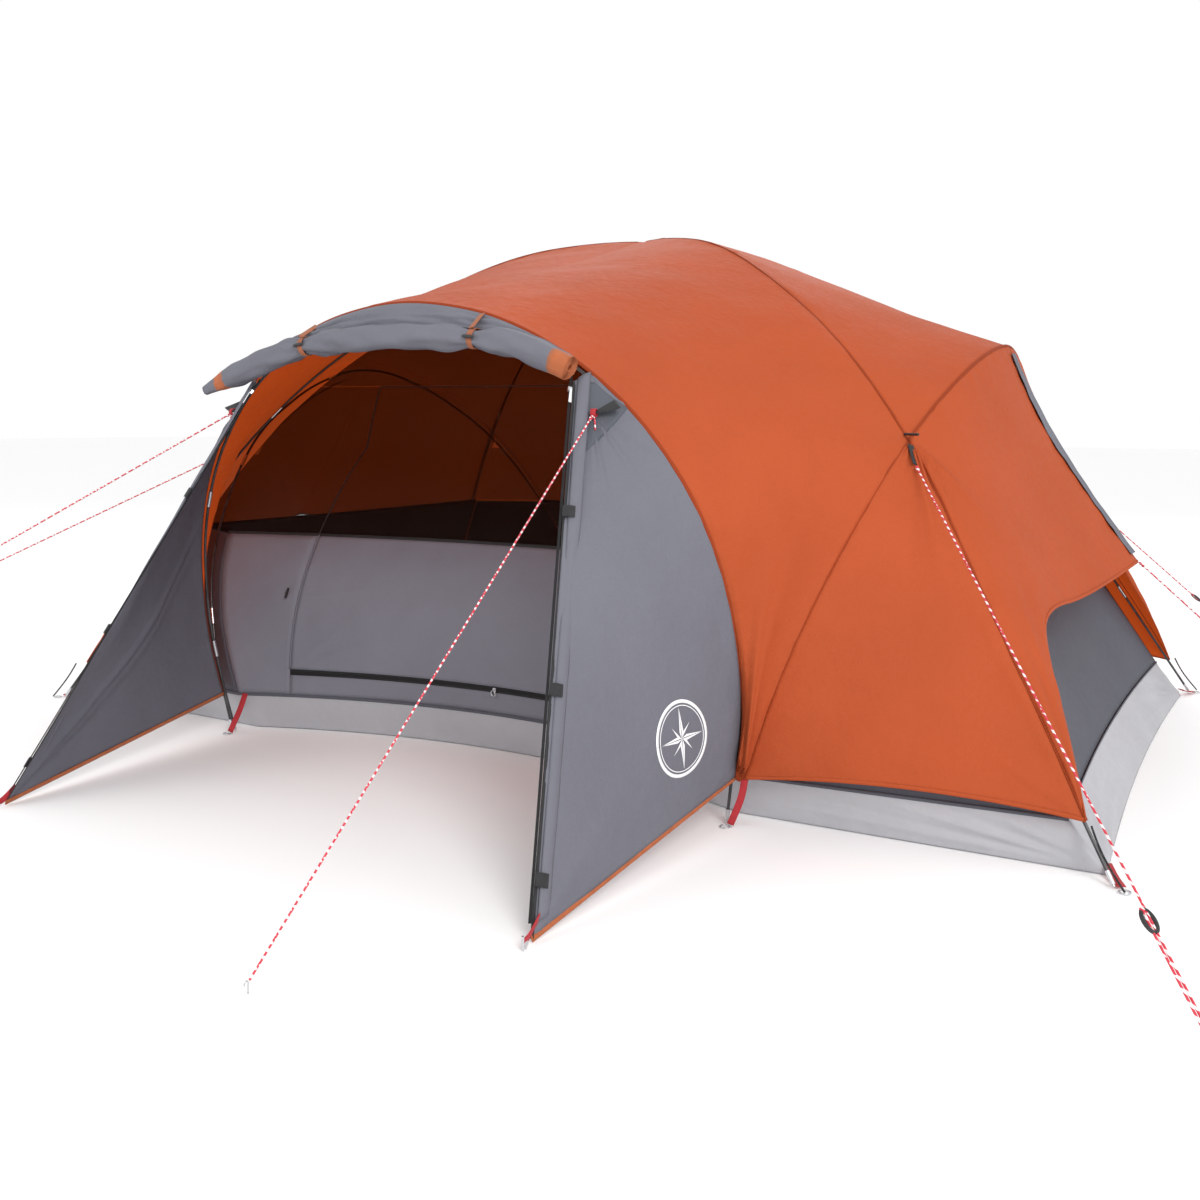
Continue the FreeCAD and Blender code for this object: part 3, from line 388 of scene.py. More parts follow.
def bump(tree, shader, height, strength, distance):
    """One more layer of relief, on top of any that the shader has."""
    made = node(tree, "ShaderNodeBump", Strength=strength, Distance=distance)
    tree.links.new(height, made.inputs["Height"])
    previous = shader.inputs["Normal"]
    if previous.links:
        tree.links.new(previous.links[0].from_socket, made.inputs["Normal"])
    tree.links.new(made.outputs["Normal"], previous)


def tint(colour, gain, rise=0.0):
    return tuple(min(1, c * gain + rise) for c in colour)


def cloth(name, colour, shade=0.94, rough=0.56, crumple=0.5, painted_glow=0.0, gleam=0.14):
    """Coated taffeta: fine weave, ripstop threads, small crumples; the glow is painted light, an emission
    standing in for daylight through it.
    """
    material, tree, shader = nodes_of(name, Specular_IOR_Level=gleam)
    uv, where = places(tree)
    dark, light = tint(colour, shade), tint(colour, 2 - shade)
    large, fine = noise(tree, where, 2.2, 4), noise(tree, where, 38, 4, 0.7)
    base = mix_colour(tree, ramp(tree, large, 0.3, 0.7), dark, light)
    threads = ramp(tree, crossed(tree, "MAXIMUM", uv, 0.006), 0.93, 1.0)
    base = mix_colour(tree, maths(tree, "MULTIPLY", threads, 0.16), base, light)
    base = mix_colour(tree, maths(tree, "MULTIPLY", ramp(tree, fine, 0.5, 0.8), 0.14), base, dark)
    tree.links.new(base, shader.inputs["Base Color"])
    # painted light: the base colour is also emitted, in place of daylight coming through the cloth
    if painted_glow:
        tree.links.new(base, shader.inputs["Emission Color"])
        shader.inputs["Emission Strength"].default_value = painted_glow
    bump(tree, shader, crossed(tree, "MULTIPLY", uv, 0.0011), 0.25, 0.0002)
    bump(tree, shader, noise(tree, where, 24, 5, 0.62), crumple, 0.006)
    bump(tree, shader, threads, 0.3, 0.0004)
    gloss = maths(tree, "MULTIPLY_ADD", ramp(tree, fine, 0.2, 0.8), 0.16, rough - 0.08)
    tree.links.new(gloss, shader.inputs["Roughness"])
    return material


def netting(name, colour, solid):
    """Fine insect netting: dark threads with open holes between."""
    material, tree, shader = nodes_of(name, Roughness=0.8, Specular_IOR_Level=0.1)
    uv, where = places(tree)
    holes = crossed(tree, "MULTIPLY", uv, 0.0024)
    base = mix_colour(tree, noise(tree, where, 3, 3), tint(colour, 0.6), colour)
    tree.links.new(base, shader.inputs["Base Color"])
    tree.links.new(maths(tree, "MULTIPLY_ADD", holes, -0.16, solid + 0.04), shader.inputs["Alpha"])
    bump(tree, shader, holes, 0.3, 0.0004)
    return material


def webbing(name, colour):
    """Woven tape: a herringbone of thick yarn, a little faded in patches."""
    material, tree, shader = nodes_of(name, Roughness=0.75, Sheen_Weight=0.06)
    where = places(tree)[1]
    yarn = (bands(tree, where, 0.0022, "DIAGONAL"), bands(tree, where, 0.0022 * 1.31, "Z"))
    yarn = maths(tree, "ADD", *yarn)
    base = mix_colour(tree, noise(tree, where, 40, 3), tint(colour, 0.7), tint(colour, 1.25, 0.01))
    tree.links.new(base, shader.inputs["Base Color"])
    bump(tree, shader, yarn, 0.5, 0.0006)
    return material


def braid(name, colour, fleck):
    """Braided cord: two colours of yarn that cross."""
    material, tree, shader = nodes_of(name, Roughness=0.8)
    where = places(tree)[1]
    yarn = (bands(tree, where, 0.011, "DIAGONAL"), bands(tree, where, 0.0135, "Z"))
    pattern = ramp(tree, maths(tree, "MULTIPLY", *yarn), 0.22, 0.30)
    tree.links.new(mix_colour(tree, pattern, colour, fleck), shader.inputs["Base Color"])
    bump(tree, shader, bands(tree, where, 0.0016, "DIAGONAL"), 0.6, 0.0005)
    return material


def hard(name, colour, metallic=0.0, rough=0.4, worn=0.25, coat=0.0):
    """Moulded or metal surface with fine scratches and worn, duller patches."""
    material, tree, shader = nodes_of(name, Metallic=metallic, Coat_Weight=coat)
    where = places(tree)[1]
    patches, fine = noise(tree, where, 18, 4), noise(tree, where, 360, 4)
    pale = tuple(c + (0.5 - c) * worn * 0.4 for c in colour)
    base = mix_colour(tree, ramp(tree, patches, 0.35, 0.75), colour, pale)
    tree.links.new(base, shader.inputs["Base Color"])
    gloss = maths(tree, "MULTIPLY_ADD", fine, worn, rough - worn / 2)
    tree.links.new(gloss, shader.inputs["Roughness"])
    bump(tree, shader, fine, 0.12, 0.0003)
    return material


def zipper(name):
    """Coil zip: a row of fine teeth down the middle of the tape."""
    material, tree, shader = nodes_of(name, Roughness=0.6, Specular_IOR_Level=0.2)
    teeth = bands(tree, places(tree)[1], 0.0021, "Z")
    base = mix_colour(tree, ramp(tree, teeth, 0.3, 0.7), (0.006, 0.006, 0.007), (0.03, 0.03, 0.032))
    tree.links.new(base, shader.inputs["Base Color"])
    bump(tree, shader, teeth, 0.8, 0.0008)
    return material


M = {
    "orange": cloth("orange_fly", (0.405, 0.076, 0.026), crumple=0.7, gleam=0.06),
    # painted light: the fly's inside faces glow, standing in for daylight shining through the orange cloth
    "orange_in": cloth("orange_fly_inside", (0.37, 0.052, 0.008), painted_glow=0.70, gleam=0.05),
    "seam": cloth("orange_seam", (0.27, 0.045, 0.015), gleam=0.05),
    "grey": cloth("grey_fly", (0.150, 0.151, 0.179), crumple=0.7),
    "grey_in": cloth("grey_fly_inside", (0.125, 0.125, 0.152)),
    "wall": cloth("grey_wall", (0.200, 0.200, 0.235), rough=0.68, crumple=0.35),
    # painted shade: a darker copy of the wall grey for the side and corner walls, which lie in the shade of
    # the fly
    "side_wall": cloth("grey_wall_painted_shade", (0.095, 0.097, 0.118), rough=0.68, crumple=0.35),
    "dark_grey": cloth("dark_grey_patch", (0.10, 0.105, 0.125)),
    "tub": cloth("silver_floor", (0.43, 0.43, 0.455), shade=0.93, rough=0.42, crumple=0.6),
    "net": netting("black_netting", (0.022, 0.014, 0.011), 0.37),
    "binding": webbing("orange_binding", (0.40, 0.10, 0.025)),
    "red": webbing("red_webbing", (0.40, 0.010, 0.018)),
    "brown": webbing("orange_brown_webbing", (0.32, 0.10, 0.04)),
    "black_tape": webbing("black_webbing", (0.012, 0.012, 0.014)),
    "zip": zipper("coil_zip"),
    "elastic": braid("black_elastic", (0.008, 0.008, 0.009), (0.03, 0.03, 0.03)),
    "guy": braid("guy_line", (0.62, 0.045, 0.07), (0.86, 0.78, 0.78)),
    "pole": hard("pole_black", (0.012, 0.012, 0.014), rough=0.32, coat=0.3),
    "steel": hard("bright_steel", (0.62, 0.63, 0.65), metallic=1.0, rough=0.3),
    "plastic": hard("black_plastic", (0.010, 0.010, 0.011), rough=0.45, worn=0.08),
    "white_plastic": hard("white_plastic", (0.78, 0.79, 0.80), rough=0.35, worn=0.15),
    "print": hard("badge_print", (0.86, 0.87, 0.89), rough=0.55, worn=0.2),
}
STYLES = {  # what a piece is made as: its material and its slot
    "orange": ("orange", "orange_fly"),
    "seam": ("seam", "orange_fly"),
    "binding": ("binding", "orange_fly"),
    "grey": ("grey", "grey_fly"),
    "wing": ("grey", "grey_fly"),
    "patch": ("dark_grey", "grey_fly"),
    "wall": ("wall", "grey_fly"),
    # the side and corner walls: the wall grey darkened as painted shade
    "side_wall": ("side_wall", "grey_fly"),
    "net": ("net", "mesh"),
    "tub": ("tub", "tub_cloth"),
    "rim": ("dark_grey", "tub_cloth"),
    "black": ("black_tape", "black_tape"),
    "elastic": ("elastic", "black_tape"),
    "toggle": ("plastic", "black_tape"),
    "loop": ("black_tape", "red_tape"),
    "red": ("red", "red_tape"),
    "brown": ("brown", "red_tape"),
    "runner": ("plastic", "pull"),
    "guy": ("guy", "guy_cord"),
    "steel": ("steel", "bright_metal"),
    "print": ("print", "badge"),
}
THICKNESS = {"net": 0.0007, "patch": 0.0009, "tub": 0.0014}
LININGS = {"orange": "orange_in", "wing": "grey_in"}

# ------------------------------------------------------------------ pieces from data


def add_object(name, data):
    made = bpy.data.objects.new(name, data)
    bpy.context.scene.collection.objects.link(made)
    return made


def piece(name, vertices, faces, uv, style, body="tent", nodes=()):
    """A mesh made as its style says; it rides on a body unless that is None."""
    material, slot = STYLES[style]
    mesh = bpy.data.meshes.new(name)
    mesh.from_pydata([tuple(v) for v in vertices], [], faces)
    layer = mesh.uv_layers.new(name="UVMap")
    corner = np.zeros(len(mesh.loops), dtype=np.int32)
    mesh.loops.foreach_get("vertex_index", corner)
    layer.data.foreach_set("uv", np.asarray(uv, float)[corner].ravel())
    mesh.materials.append(M[material])
    mesh.shade_smooth()
    made = add_object(name, mesh)
    if body:
        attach(made, body)
    if nodes:
        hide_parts(*nodes)
    return made


def thicken(made, thickness, name="cloth"):
    solid = made.modifiers.new(name, "SOLIDIFY")
    solid.thickness, solid.offset = thickness, 0.0
    return solid


def quads(k):
    """Faces between the neighbours of a table of vertex numbers."""
    corners = (k[:-1, :-1], k[:-1, 1:], k[1:, 1:], k[1:, :-1])
    return np.stack([c.ravel() for c in corners], axis=1).tolist()


def grid_data(grid, closed=False):
    """Vertices, faces and a UV map in metres for a grid of points."""
    u, v = np.cumsum(np.r_[0, gaps(grid, 1).mean(0)]), np.cumsum(np.r_[0, gaps(grid, 0).mean(1)])
    uv = np.stack(np.meshgrid(u, v), axis=2).reshape(-1, 2)
    k = np.arange(u.size * v.size).reshape(v.size, u.size)
    if closed:
        k = np.c_[k, k[:, :1]]
    return grid.reshape(-1, 3), quads(k), uv


def sheet(name, grid, style, nodes, lift=None, body="tent"):
    """A sheet of cloth over a grid of points, with lift metres of wrinkles on its face."""
    if lift is not None:
        grid = grid - normals(grid) * lift[:, :, None]
    made = piece(name, *grid_data(grid), style, body, nodes)
    solid = thicken(made, THICKNESS.get(style, CLOTH))
    if style in LININGS:
        made.data.materials.append(M[LININGS[style]])
        solid.material_offset = 1
    return made


def frames(line, face):
    """Unit vectors across a line and out of its face."""
    way = unit(np.gradient(line, axis=0))
    across = unit(np.cross(np.broadcast_to(np.asarray(face, float), line.shape), way))
    return across, np.cross(way, across)


def lofted(name, rows, style, body, nodes):
    """A solid over rings of points, with flat ends."""
    vertices, faces, uv = grid_data(rows, closed=True)
    sides, last = rows.shape[1], len(vertices) - rows.shape[1]
    faces.append(list(range(sides))[::-1])
    faces.append([last + k for k in range(sides)])
    return piece(name, vertices, faces, uv, style, body, nodes)


def band(name, line, face, width, thick, style, body="tent", nodes=()):
    """A flat strap, tape or binding along a line, with rounded long edges."""
    line = np.asarray(line, float)
    across, out = frames(line, face)
    top = [(-0.5, 0), (-0.47, 0.5), (0, 0.5), (0.47, 0.5)]
    ring = top + [(-a, -b) for a, b in top]
    width = np.broadcast_to(np.asarray(width, float), (len(line),))[:, None]
    rows = np.stack([line + across * (a * width) + out * (b * thick) for a, b in ring], axis=1)
    return lofted(name, rows, style, body, nodes)


def tube(name, line, radius, style, body="tent", nodes=(), sides=12):
    """A round rod or thread along a line; radius may differ from point to point."""
    line = np.asarray(line, float)
    across, out = frames(line, unit(np.cross(np.gradient(line, axis=0)[0], (0.31, 0.87, 0.22))))
    turn = (np.arange(sides) * 2 * math.pi / sides)[None, :, None]
    radius = np.broadcast_to(np.asarray(radius, float), (len(line),))[:, None, None]
    ring = np.cos(turn) * across[:, None] + np.sin(turn) * out[:, None]
    return lofted(name, line[:, None] + ring * radius, style, body, nodes)


def ring_line(centre, axis, radius, count):
    axis = unit(np.array(axis, float))
    side = unit(np.cross(axis, (0.3, 0.5, 0.81)))
    t = np.linspace(0, 2 * math.pi, count + 1)[:, None]
    return np.array(centre) + radius * (np.cos(t) * side + np.sin(t) * np.cross(axis, side))


def points_from(origin, offsets, flip, steps=8):
    """A smooth line through a quarter's points, which are given from an origin."""
    return smooth([origin + np.array(offset) * flip for offset in offsets], steps)


# ------------------------------------------------------------------ camera and light

EYE = np.array([2.354, -4.467, 1.168])
AZIMUTH, ELEVATION, ROLL = math.radians(29.722), math.radians(8.511), math.radians(0.348)
LENS = 35.83

back = np.array([math.sin(AZIMUTH), -math.cos(AZIMUTH), math.tan(ELEVATION)]) * math.cos(ELEVATION)
right = unit(np.cross(-back, (0, 0, 1)))
up = np.cross(right, -back)
tilted_right = math.cos(ROLL) * right + math.sin(ROLL) * up
tilted_up = -math.sin(ROLL) * right + math.cos(ROLL) * up
camera = add_object("camera", bpy.data.cameras.new("camera"))
camera.data.lens = LENS
camera.data.sensor_width = 36
camera.data.clip_end = 200
turn = Matrix((tilted_right, tilted_up, back)).transposed().to_4x4()
camera.matrix_world = Matrix.Translation(Vector(EYE)) @ turn
bpy.context.scene.camera = camera


def lamp(name, place, aim, size, watts):
    light = bpy.data.lights.new(name, "AREA")
    light.shape, light.size, light.energy = "DISK", size, watts
    made = add_object(name, light)
    made.location = place
    made.rotation_euler = (Vector(aim) - Vector(place)).to_track_quat("-Z", "Y").to_euler()


lamp("key", (6.5, -6.5, 5.5), (0.5, 0, 0.8), 4.0, 400)
lamp("fill", (-4.5, -8.0, 4.0), (0, 0, 0.8), 5.0, 75)
lamp("back", (-3.0, 7.5, 6.0), (0, 0, 0.8), 6.0, 150)
world = bpy.data.worlds.new("studio")
world.use_nodes = True
world.node_tree.nodes["Background"].inputs["Color"].default_value = (1, 1, 1, 1)
world.node_tree.nodes["Background"].inputs["Strength"].default_value = 1.0
bpy.context.scene.world = world
bpy.context.scene.view_settings.view_transform = "Standard"

floor_mesh = bpy.data.meshes.new("studio_floor")
floor_mesh.from_pydata([(-60, -60, 0), (60, -60, 0), (60, 60, 0), (-60, 60, 0)], [], [(0, 1, 2, 3)])
floor_mesh.materials.append(nodes_of("studio_floor", Base_Color=(0.96, 0.96, 0.96, 1), Roughness=0.9)[0])
ground = add_object("studio_floor", floor_mesh)
ground.location.z = -0.0015

# ------------------------------------------------------------------------- guy lines

GUY_RADIUS = 0.0025
PEG_Z = 0.022
GUY_OUT = np.array([0.690, -1.590, 1.192])
HUB_GUY = HUB + np.array([0.040, -0.064, -0.068])
GUYS = {  # from the tent to the ground
    "guy_front_right": (GUY_OUT, (0.584, -2.817, 0)),
    "guy_front_left": (GUY_OUT * FLIP_X, (-2.140, -2.970, 0)),
    "guy_hub_front_right": (HUB_GUY, (2.420, -2.420, 0)),
    "guy_hub_front_left": (HUB_GUY * FLIP_X, (-2.500, -2.830, 0)),
    "guy_hub_back_right": (HUB_GUY * FLIP_Y, (2.400, 1.900, 0)),
    "guy_awning_right": (AWNING_TIP, (2.650, 0.300, 0)),
}
RUNNER_SHARE = {"guy_hub_front_right": 0.785, "guy_hub_front_left": 0.8, "guy_hub_back_right": 0.64}
RETURN_GAP = 0.007


def guy_frame(label):
    """A line's two ends, its direction, and a direction level with the ground across it."""
    start, anchor = (np.array(end, float) for end in GUYS[label])
    end = anchor + (0, 0, PEG_Z)
    way = unit(end - start)
    return start, end, way, unit(np.cross(way, (0, 0, 1)))


def rope(name, route, node_name):
    """A taut cord as one smooth spline through its route."""
    curve = bpy.data.curves.new(name, "CURVE")
    curve.dimensions = "3D"
    curve.bevel_depth = GUY_RADIUS
    curve.bevel_resolution = 3
    curve.use_fill_caps = True
    spline = curve.splines.new("NURBS")
    spline.points.add(len(route) - 1)
    for point, place in zip(spline.points, route):
        point.co = (*place, 1)
    spline.order_u = 3
    spline.use_endpoint_u = True
    curve.materials.append(M["guy"])
    made = add_object(name, curve)
    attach(made, "tent")
    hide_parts(node_name)


def peg(name, anchor, way):
    """The hooked head of a wire peg pushed into the ground."""
    level = unit(way * (1, 1, 0))
    hook = [(0, 0), (0, 0.012), (-0.001, 0.026), (0.008, 0.028), (0.009, 0.019)]
    hook = [anchor + level * far + (0, 0, high) for far, high in hook]
    return tube(name, smooth(hook, 6), 0.0019, "steel", nodes=["guy_pegs"])


for label in GUYS:
    start, end, way, aside = guy_frame(label)
    begin, stop = start + way * 0.006, end - way * 0.006
    knot_line = spread([begin + way * 0.002, begin + way * 0.022], 8)
    knot_radius = 0.0028 + 0.0022 * np.abs(np.sin(np.linspace(0.2, 2 * math.pi - 0.2, 9)))
    knot = tube(f"{label}_knot", knot_line, knot_radius, "guy")
    with_it = [peg(f"{label}_peg", end - (0, 0, PEG_Z), way), knot]
    route = [begin * (1 - share) + stop * share for share in (0, 0.33, 0.67, 1)]
    rope(f"{label}_rope", route, label)
    if label in RUNNER_SHARE:
        aside = aside * RETURN_GAP
        low = stop + aside - way * 0.004
        turned = begin + (stop - begin) * RUNNER_SHARE[label] - way * 0.024 + aside
        stopper_line = spread([turned - way * 0.006, turned + way * 0.006], 6)
        stopper_radius = 0.006 - np.array([3, 1.5, 0.5, 0, 0.5, 1.5, 3]) / 1000
        stopper = tube(f"{label}_end_knot", stopper_line, stopper_radius, "guy")
        route = [low, (low * 2 + turned) / 3, (low + turned * 2) / 3, turned]
        rope(f"{label}_return", route, label)

for label, target, body in (
    ("guy_hub_front_right", "runner_front_right", "runner_front"),
    ("guy_hub_back_right", "runner_back_right", "runner_back"),
):
    *_, way, aside = guy_frame(label)
    t = np.linspace(0, 2 * math.pi, 37)[:, None]
    oval = np.mean([list(end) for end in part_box(target)], axis=0)
    oval = oval + 0.026 * np.cos(t) * way + 0.0115 * np.sin(t) * aside
    tube(f"{target}_ring", oval, 0.0042, "runner", body=body, nodes=[target])

# ------------------------------------------------------------------------ flysheet


def front_roof():
    arch, top = (rows_of(line, FLIP_X, 250) for line in (above(front_half, HEM_Z), ridge(fly, HEM_Z)))
    grid = ruled(arch, top, 80)
    grid[:, :, 2] -= 0.012 * hump(81)[:, None]
    return grid


def nearly(line, k, beside):
    """Moves a point of a line a tenth of the way to its neighbour, so that no row is a point."""
    line[k] = 0.9 * line[k] + 0.1 * line[beside]
    return line


def side_roof(curves, count, sag):
    """From the crown to the side arch, between the front and the back diagonal."""
    diagonal = nearly(spread(curves["diag_up"][::-1], count), 0, 1)
    arch = rows_of(curves["side_up"], FLIP_Y, count)
    s, t = along_shares(count + 1), down_shares(count + 1)
    chord = diagonal[:, None] * (1 - s) + (diagonal * FLIP_Y)[:, None] * s
    bulge = arch[None] - (arch[0] * (1 - s) + arch[-1] * s)
    grid = chord + bulge * t**3
    grid[:, :, 2] -= (sag * 16 * s * (1 - s) * t * (1 - t))[:, :, 0]
    return grid


def back_panel():
    half = nearly(spread(ridge(fly, 0.120) * FLIP_Y, 110), -1, -2)
    s = along_shares(121)
    grid = half[:, None] * (1 - s) + (half * FLIP_X)[:, None] * s
    ends = np.minimum(1, 3 * (1 - np.arange(len(half)) / len(half)))
    grid[:, :, 1] -= 0.025 * 4 * s[..., 0] * (1 - s[..., 0]) * ends[:, None]
    return grid


def corner_panel():
    side, diagonal = (spread(above(fly[part], HEM_Z), 100) for part in ("side_low", "diag_low"))
    grid = ruled(side[:99], diagonal[:99], 56)
    grid[:, :, 2] += 0.030 * hump(57)[:, None] * (1 - np.linspace(0, 2.5, 99).clip(0, 1))[None] ** 2
    return outward(grid)


def awning_half():
    left = spread(above(fly["diag_low"], HEM_Z)[::-1], 84)
    hem = [left[-1], (1.912, -1.150, 0.330), (1.815, -0.985, 0.520)]
    hem += [(1.772, -0.850, 0.640), (1.845, -0.460, 0.628), AWNING_TIP]
    bottom = spread(smooth(hem), 74)
    middle = spread(smooth([APEX, (1.578, 0, 1.150), AWNING_TIP], 40), 84)
    return outward(coons(spread(fly["side_up"], 74), bottom, left, middle)), bottom


def fly_panel(name, grid, target, seed, amount=0.004):
    grid = outward(grid)
    sheet(name, grid, "orange", [target], draped(grid, seed, amount))


def flap_strip():
    """The right half of a doubled strip that lies over the awning's middle seam."""
    half = awning if np.abs(awning[0, 0, 1]) < np.abs(awning[0, -1, 1]) else awning[:, ::-1]
    out = normals(half)
    out *= np.sign((out * (half - np.array([0, 0, 0.5]))).sum(2).mean())
    rows = []
    for k, place in enumerate((half + out * 0.0085)[3:-3, :8]):
        reach = 0.030 + 0.030 * math.exp(-(((k / 78 - 0.36) / 0.2) ** 2)) + 0.002 * math.sin(k * 0.9)
        want, arc = np.linspace(0, reach, 9), reach_along(place)
        rows.append(np.stack([np.interp(want, arc, place[:, c]) for c in range(3)], axis=1))
    front = np.array(rows)
    front[:, 0, 1] = 0
    front[:, 0] += (0.002, 0, 0.001)
    return np.concatenate([front[:, ::-1], front[:, 1:] * FLIP_Y], axis=1)


def seam(name, line):
    """A felled seam: a doubled strip of cloth laid along the join of two panels."""
    out = unit(line - np.array([0, 0, 0.4]))
    band(name, line + out * 0.0009, out, 0.010, 0.0016, "seam")


fly_panel("front_roof_cloth", front_roof(), "fly_front_roof", 11)
fly_panel("back_panel_cloth", back_panel(), "fly_back_panel", 41)
seam("front_arch_seam", rows_of(above(front_half, HEM_Z), FLIP_X, 160))
panel, (awning, awning_hem) = corner_panel(), awning_half()
low_edge = panel[:, 0] if panel[0, 0, 2] < panel[0, -1, 2] else panel[:, -1]
roof_side = outward(side_roof(fly, 80, 0.002))
for (word, flip), seed in zip(SIDES, (21, 31)):
    fly_panel(f"{word}_roof_cloth", roof_side * flip, f"fly_{word}_roof", seed)
    seam(f"{word}_side_arch_seam", rows_of(fly["side_up"], FLIP_Y, 90) * flip)
    strip = outward(flap_strip() * flip)
    sheet(f"{word}_awning_flap", strip, "grey", ["awning_flaps"], ripple(strip, 0.0012, 0.12, 83))
for side, end, flip in QUARTERS:
    seed = len(f"{side}_{end}")
    fly_panel(f"corner_panel_{end}_{side}", panel * flip, "fly_corner_panels", 51 + seed)
    fly_panel(f"awning_{side}_{end}", awning * flip, f"{side}_awning", 71 + seed, 0.003)
    band(f"awning_hem_{side}_{end}", awning_hem * flip, (1.0, 0, 0.3) * flip, 0.010, 0.0026, "orange")
    band(f"{side}_{end}_corner_hem", low_edge * flip, (0.2, -1, 0) * flip, 0.012, 0.0028, "orange")
    seam(f"{side}_{end}_foot_seam", spread(above(fly["side_low"], HEM_Z), 60) * flip)
    seam(f"{side}_{end}_corner_seam", spread(above(fly["diag_low"], HEM_Z), 60) * flip)
    seam(f"{side}_{end}_ridge_seam", spread(fly["diag_up"][:-1], 70) * flip)

# --------------------------------------------------------------------- porch wings

arch_high = above(front_half, HEM_Z)
WING_SEAM = split(arch_high, arch_high[:, 0] - ZIP_TOP_X)[0]
ZIP_TOP = WING_SEAM[-1]
ZIP_WAY = unit(WING_PEG - ZIP_TOP)
WINGS, BADGE_AT, TAB_SHARES = {}, (0.18, 0.34), (0.31, 0.62, 0.92)
PORCH_MIDDLE = (0, -1.9, 0.4)
WING_LOOP = ((0, 0.05, 0.045), (0, 0.006, 0.012), (0.003, -0.014, 0.010), (0.006, -0.031, 0.008))


def wing():
    """From the front arch's seam to the zip, whose line bows a little outwards."""
    arch, edge = spread(WING_SEAM, 96), spread([WING_PEG, ZIP_TOP], 96)
    edge = edge + unit(arch - edge) * 0.012
    return ruled(arch[:-5], edge[:-5], 70)


def wing_wrinkles(grid, flip, seed):
    total = ripple(grid, 0.005, 0.6, seed) + ripple(grid, 0.0016, 0.18, seed + 1) + puckers(grid, seed)
    tip, loop = WING_PEG * flip, GUY_OUT * flip
    total += rays(grid, tip, (FOOT_TOP - WING_PEG) * flip, DOWN, 0.55, 0.006, 8, seed + 2, 40)
    total += rays(grid, tip, loop - tip, (0, 1, 0), 1.1, 0.009, 5, seed + 4, 16)
    total += rays(grid, loop, np.array([0.4, 0.6, -0.7]) * flip, (0, 1.0, 0), 0.22, 0.008, 7, seed + 3, 80)
    return total * edge_fade(grid, 0.05)


def flap_tab(name, edge, inward, face_up):
    """A stiff tab that wraps the zip's edge and lies on the storm flap."""
    reach = np.linspace(-0.004, 0.026, 12)
    arched = 0.0135 - 0.006 * np.exp(-(((reach + 0.004) / 0.008) ** 2))
    line = edge + reach[:, None] * inward + arched[:, None] * face_up
    wrap = np.vstack([edge - inward * 0.006 + face_up * h for h in (-0.003, 0.002, 0.006)])
    band(name, spread(np.vstack([wrap, line]), 16), face_up, 0.034, 0.0026, "black", nodes=["flap_tabs"])


for word, flip in SIDES:
    side, tip, zip_way = flip[0], WING_PEG * flip, ZIP_WAY * flip
    base = wing() * flip
    grid = outward(base, PORCH_MIDDLE)
    lift = wing_wrinkles(grid, flip, 91)
    if word == "left":
        high = WING_SEAM[int(0.52 * len(WING_SEAM))] * flip
        folds = crease(grid, tip, high, 0.012, 0.011)
        folds += crease(grid, tip + (0, 0.05, 0), high + (0, 0.03, -0.07), 0.008, 0.006)
        lift = lift - folds * edge_fade(grid, 0.05)
    WINGS[word] = grid - normals(grid) * lift[:, :, None]
    sheet(f"{word}_wing_cloth", grid, "wing", [f"{word}_wing"], lift)
    face, seam_side, edge = normals(grid).mean((0, 1)), base[0], base[-1]
    band(f"{word}_wing_hem", base[::-1, 0], face, 0.016, 0.0032, "binding")
    band(f"{word}_zip_tape", edge + (base[-2] - edge) * 0.1, face, 0.009, 0.0020, "black")
    toward = unit(seam_side - edge)
    face_up = unit(np.cross(toward, zip_way))
    face_up *= np.sign(face_up[:, :1]) * side
    widths = np.linspace(0.012, 0.054, 8)[:, None, None]
    bulge = (0.004 + 0.006 * np.sin(np.linspace(0, math.pi, 8)))[:, None, None]
    strip = edge[None, 2:] + toward[None, 2:] * widths + face_up[None, 2:] * bulge
    flap = outward(strip, PORCH_MIDDLE)
    sheet(f"{word}_storm_flap", flap, "grey", ["storm_flaps"], ripple(strip, 0.0014, 0.2, 95))
    for number, share in enumerate(TAB_SHARES):
        k = min(int(round(96 * (1 - share))), len(edge) - 1)
        inward = seam_side[k] - edge[k]
        inward = unit(inward - inward @ zip_way * zip_way)
        tab_up = unit(np.cross(inward, zip_way))
        flap_tab(f"{word}_flap_tab_{number}", edge[k], inward, tab_up * np.sign(tab_up[0]) * side)
    band(f"{word}_wing_loop", points_from(tip, WING_LOOP, flip), (side, 0.4, 0), 0.018, 0.0022, "red")

# ------------------------------------------------------- details laid on the wings


def on_grid(grid, i, j):
    """The point and outward normal at a fractional row and column of a grid."""
    i, j = (np.clip(at, 0, size - 1.001) for at, size in zip((i, j), grid.shape))
    a, b = np.floor(i).astype(int), np.floor(j).astype(int)
    u, v = (i - a)[..., None], (j - b)[..., None]
    mixed = []
    for field in (grid, -normals(grid)):
        low = field[a, b] * (1 - v) + field[a, b + 1] * v
        high = field[a + 1, b] * (1 - v) + field[a + 1, b + 1] * v
        mixed.append(low * (1 - u) + high * u)
    return mixed[0], unit(mixed[1])


def wing_index(grid, seam_share, across_share):
    """Row and column for a share up the front seam and a share from the seam to the zip."""
    low_first = grid[0, 0, 2] < grid[0, -1, 2]
    j = seam_share if low_first else 1 - seam_share
    return across_share * (grid.shape[0] - 1), j * (grid.shape[1] - 1)


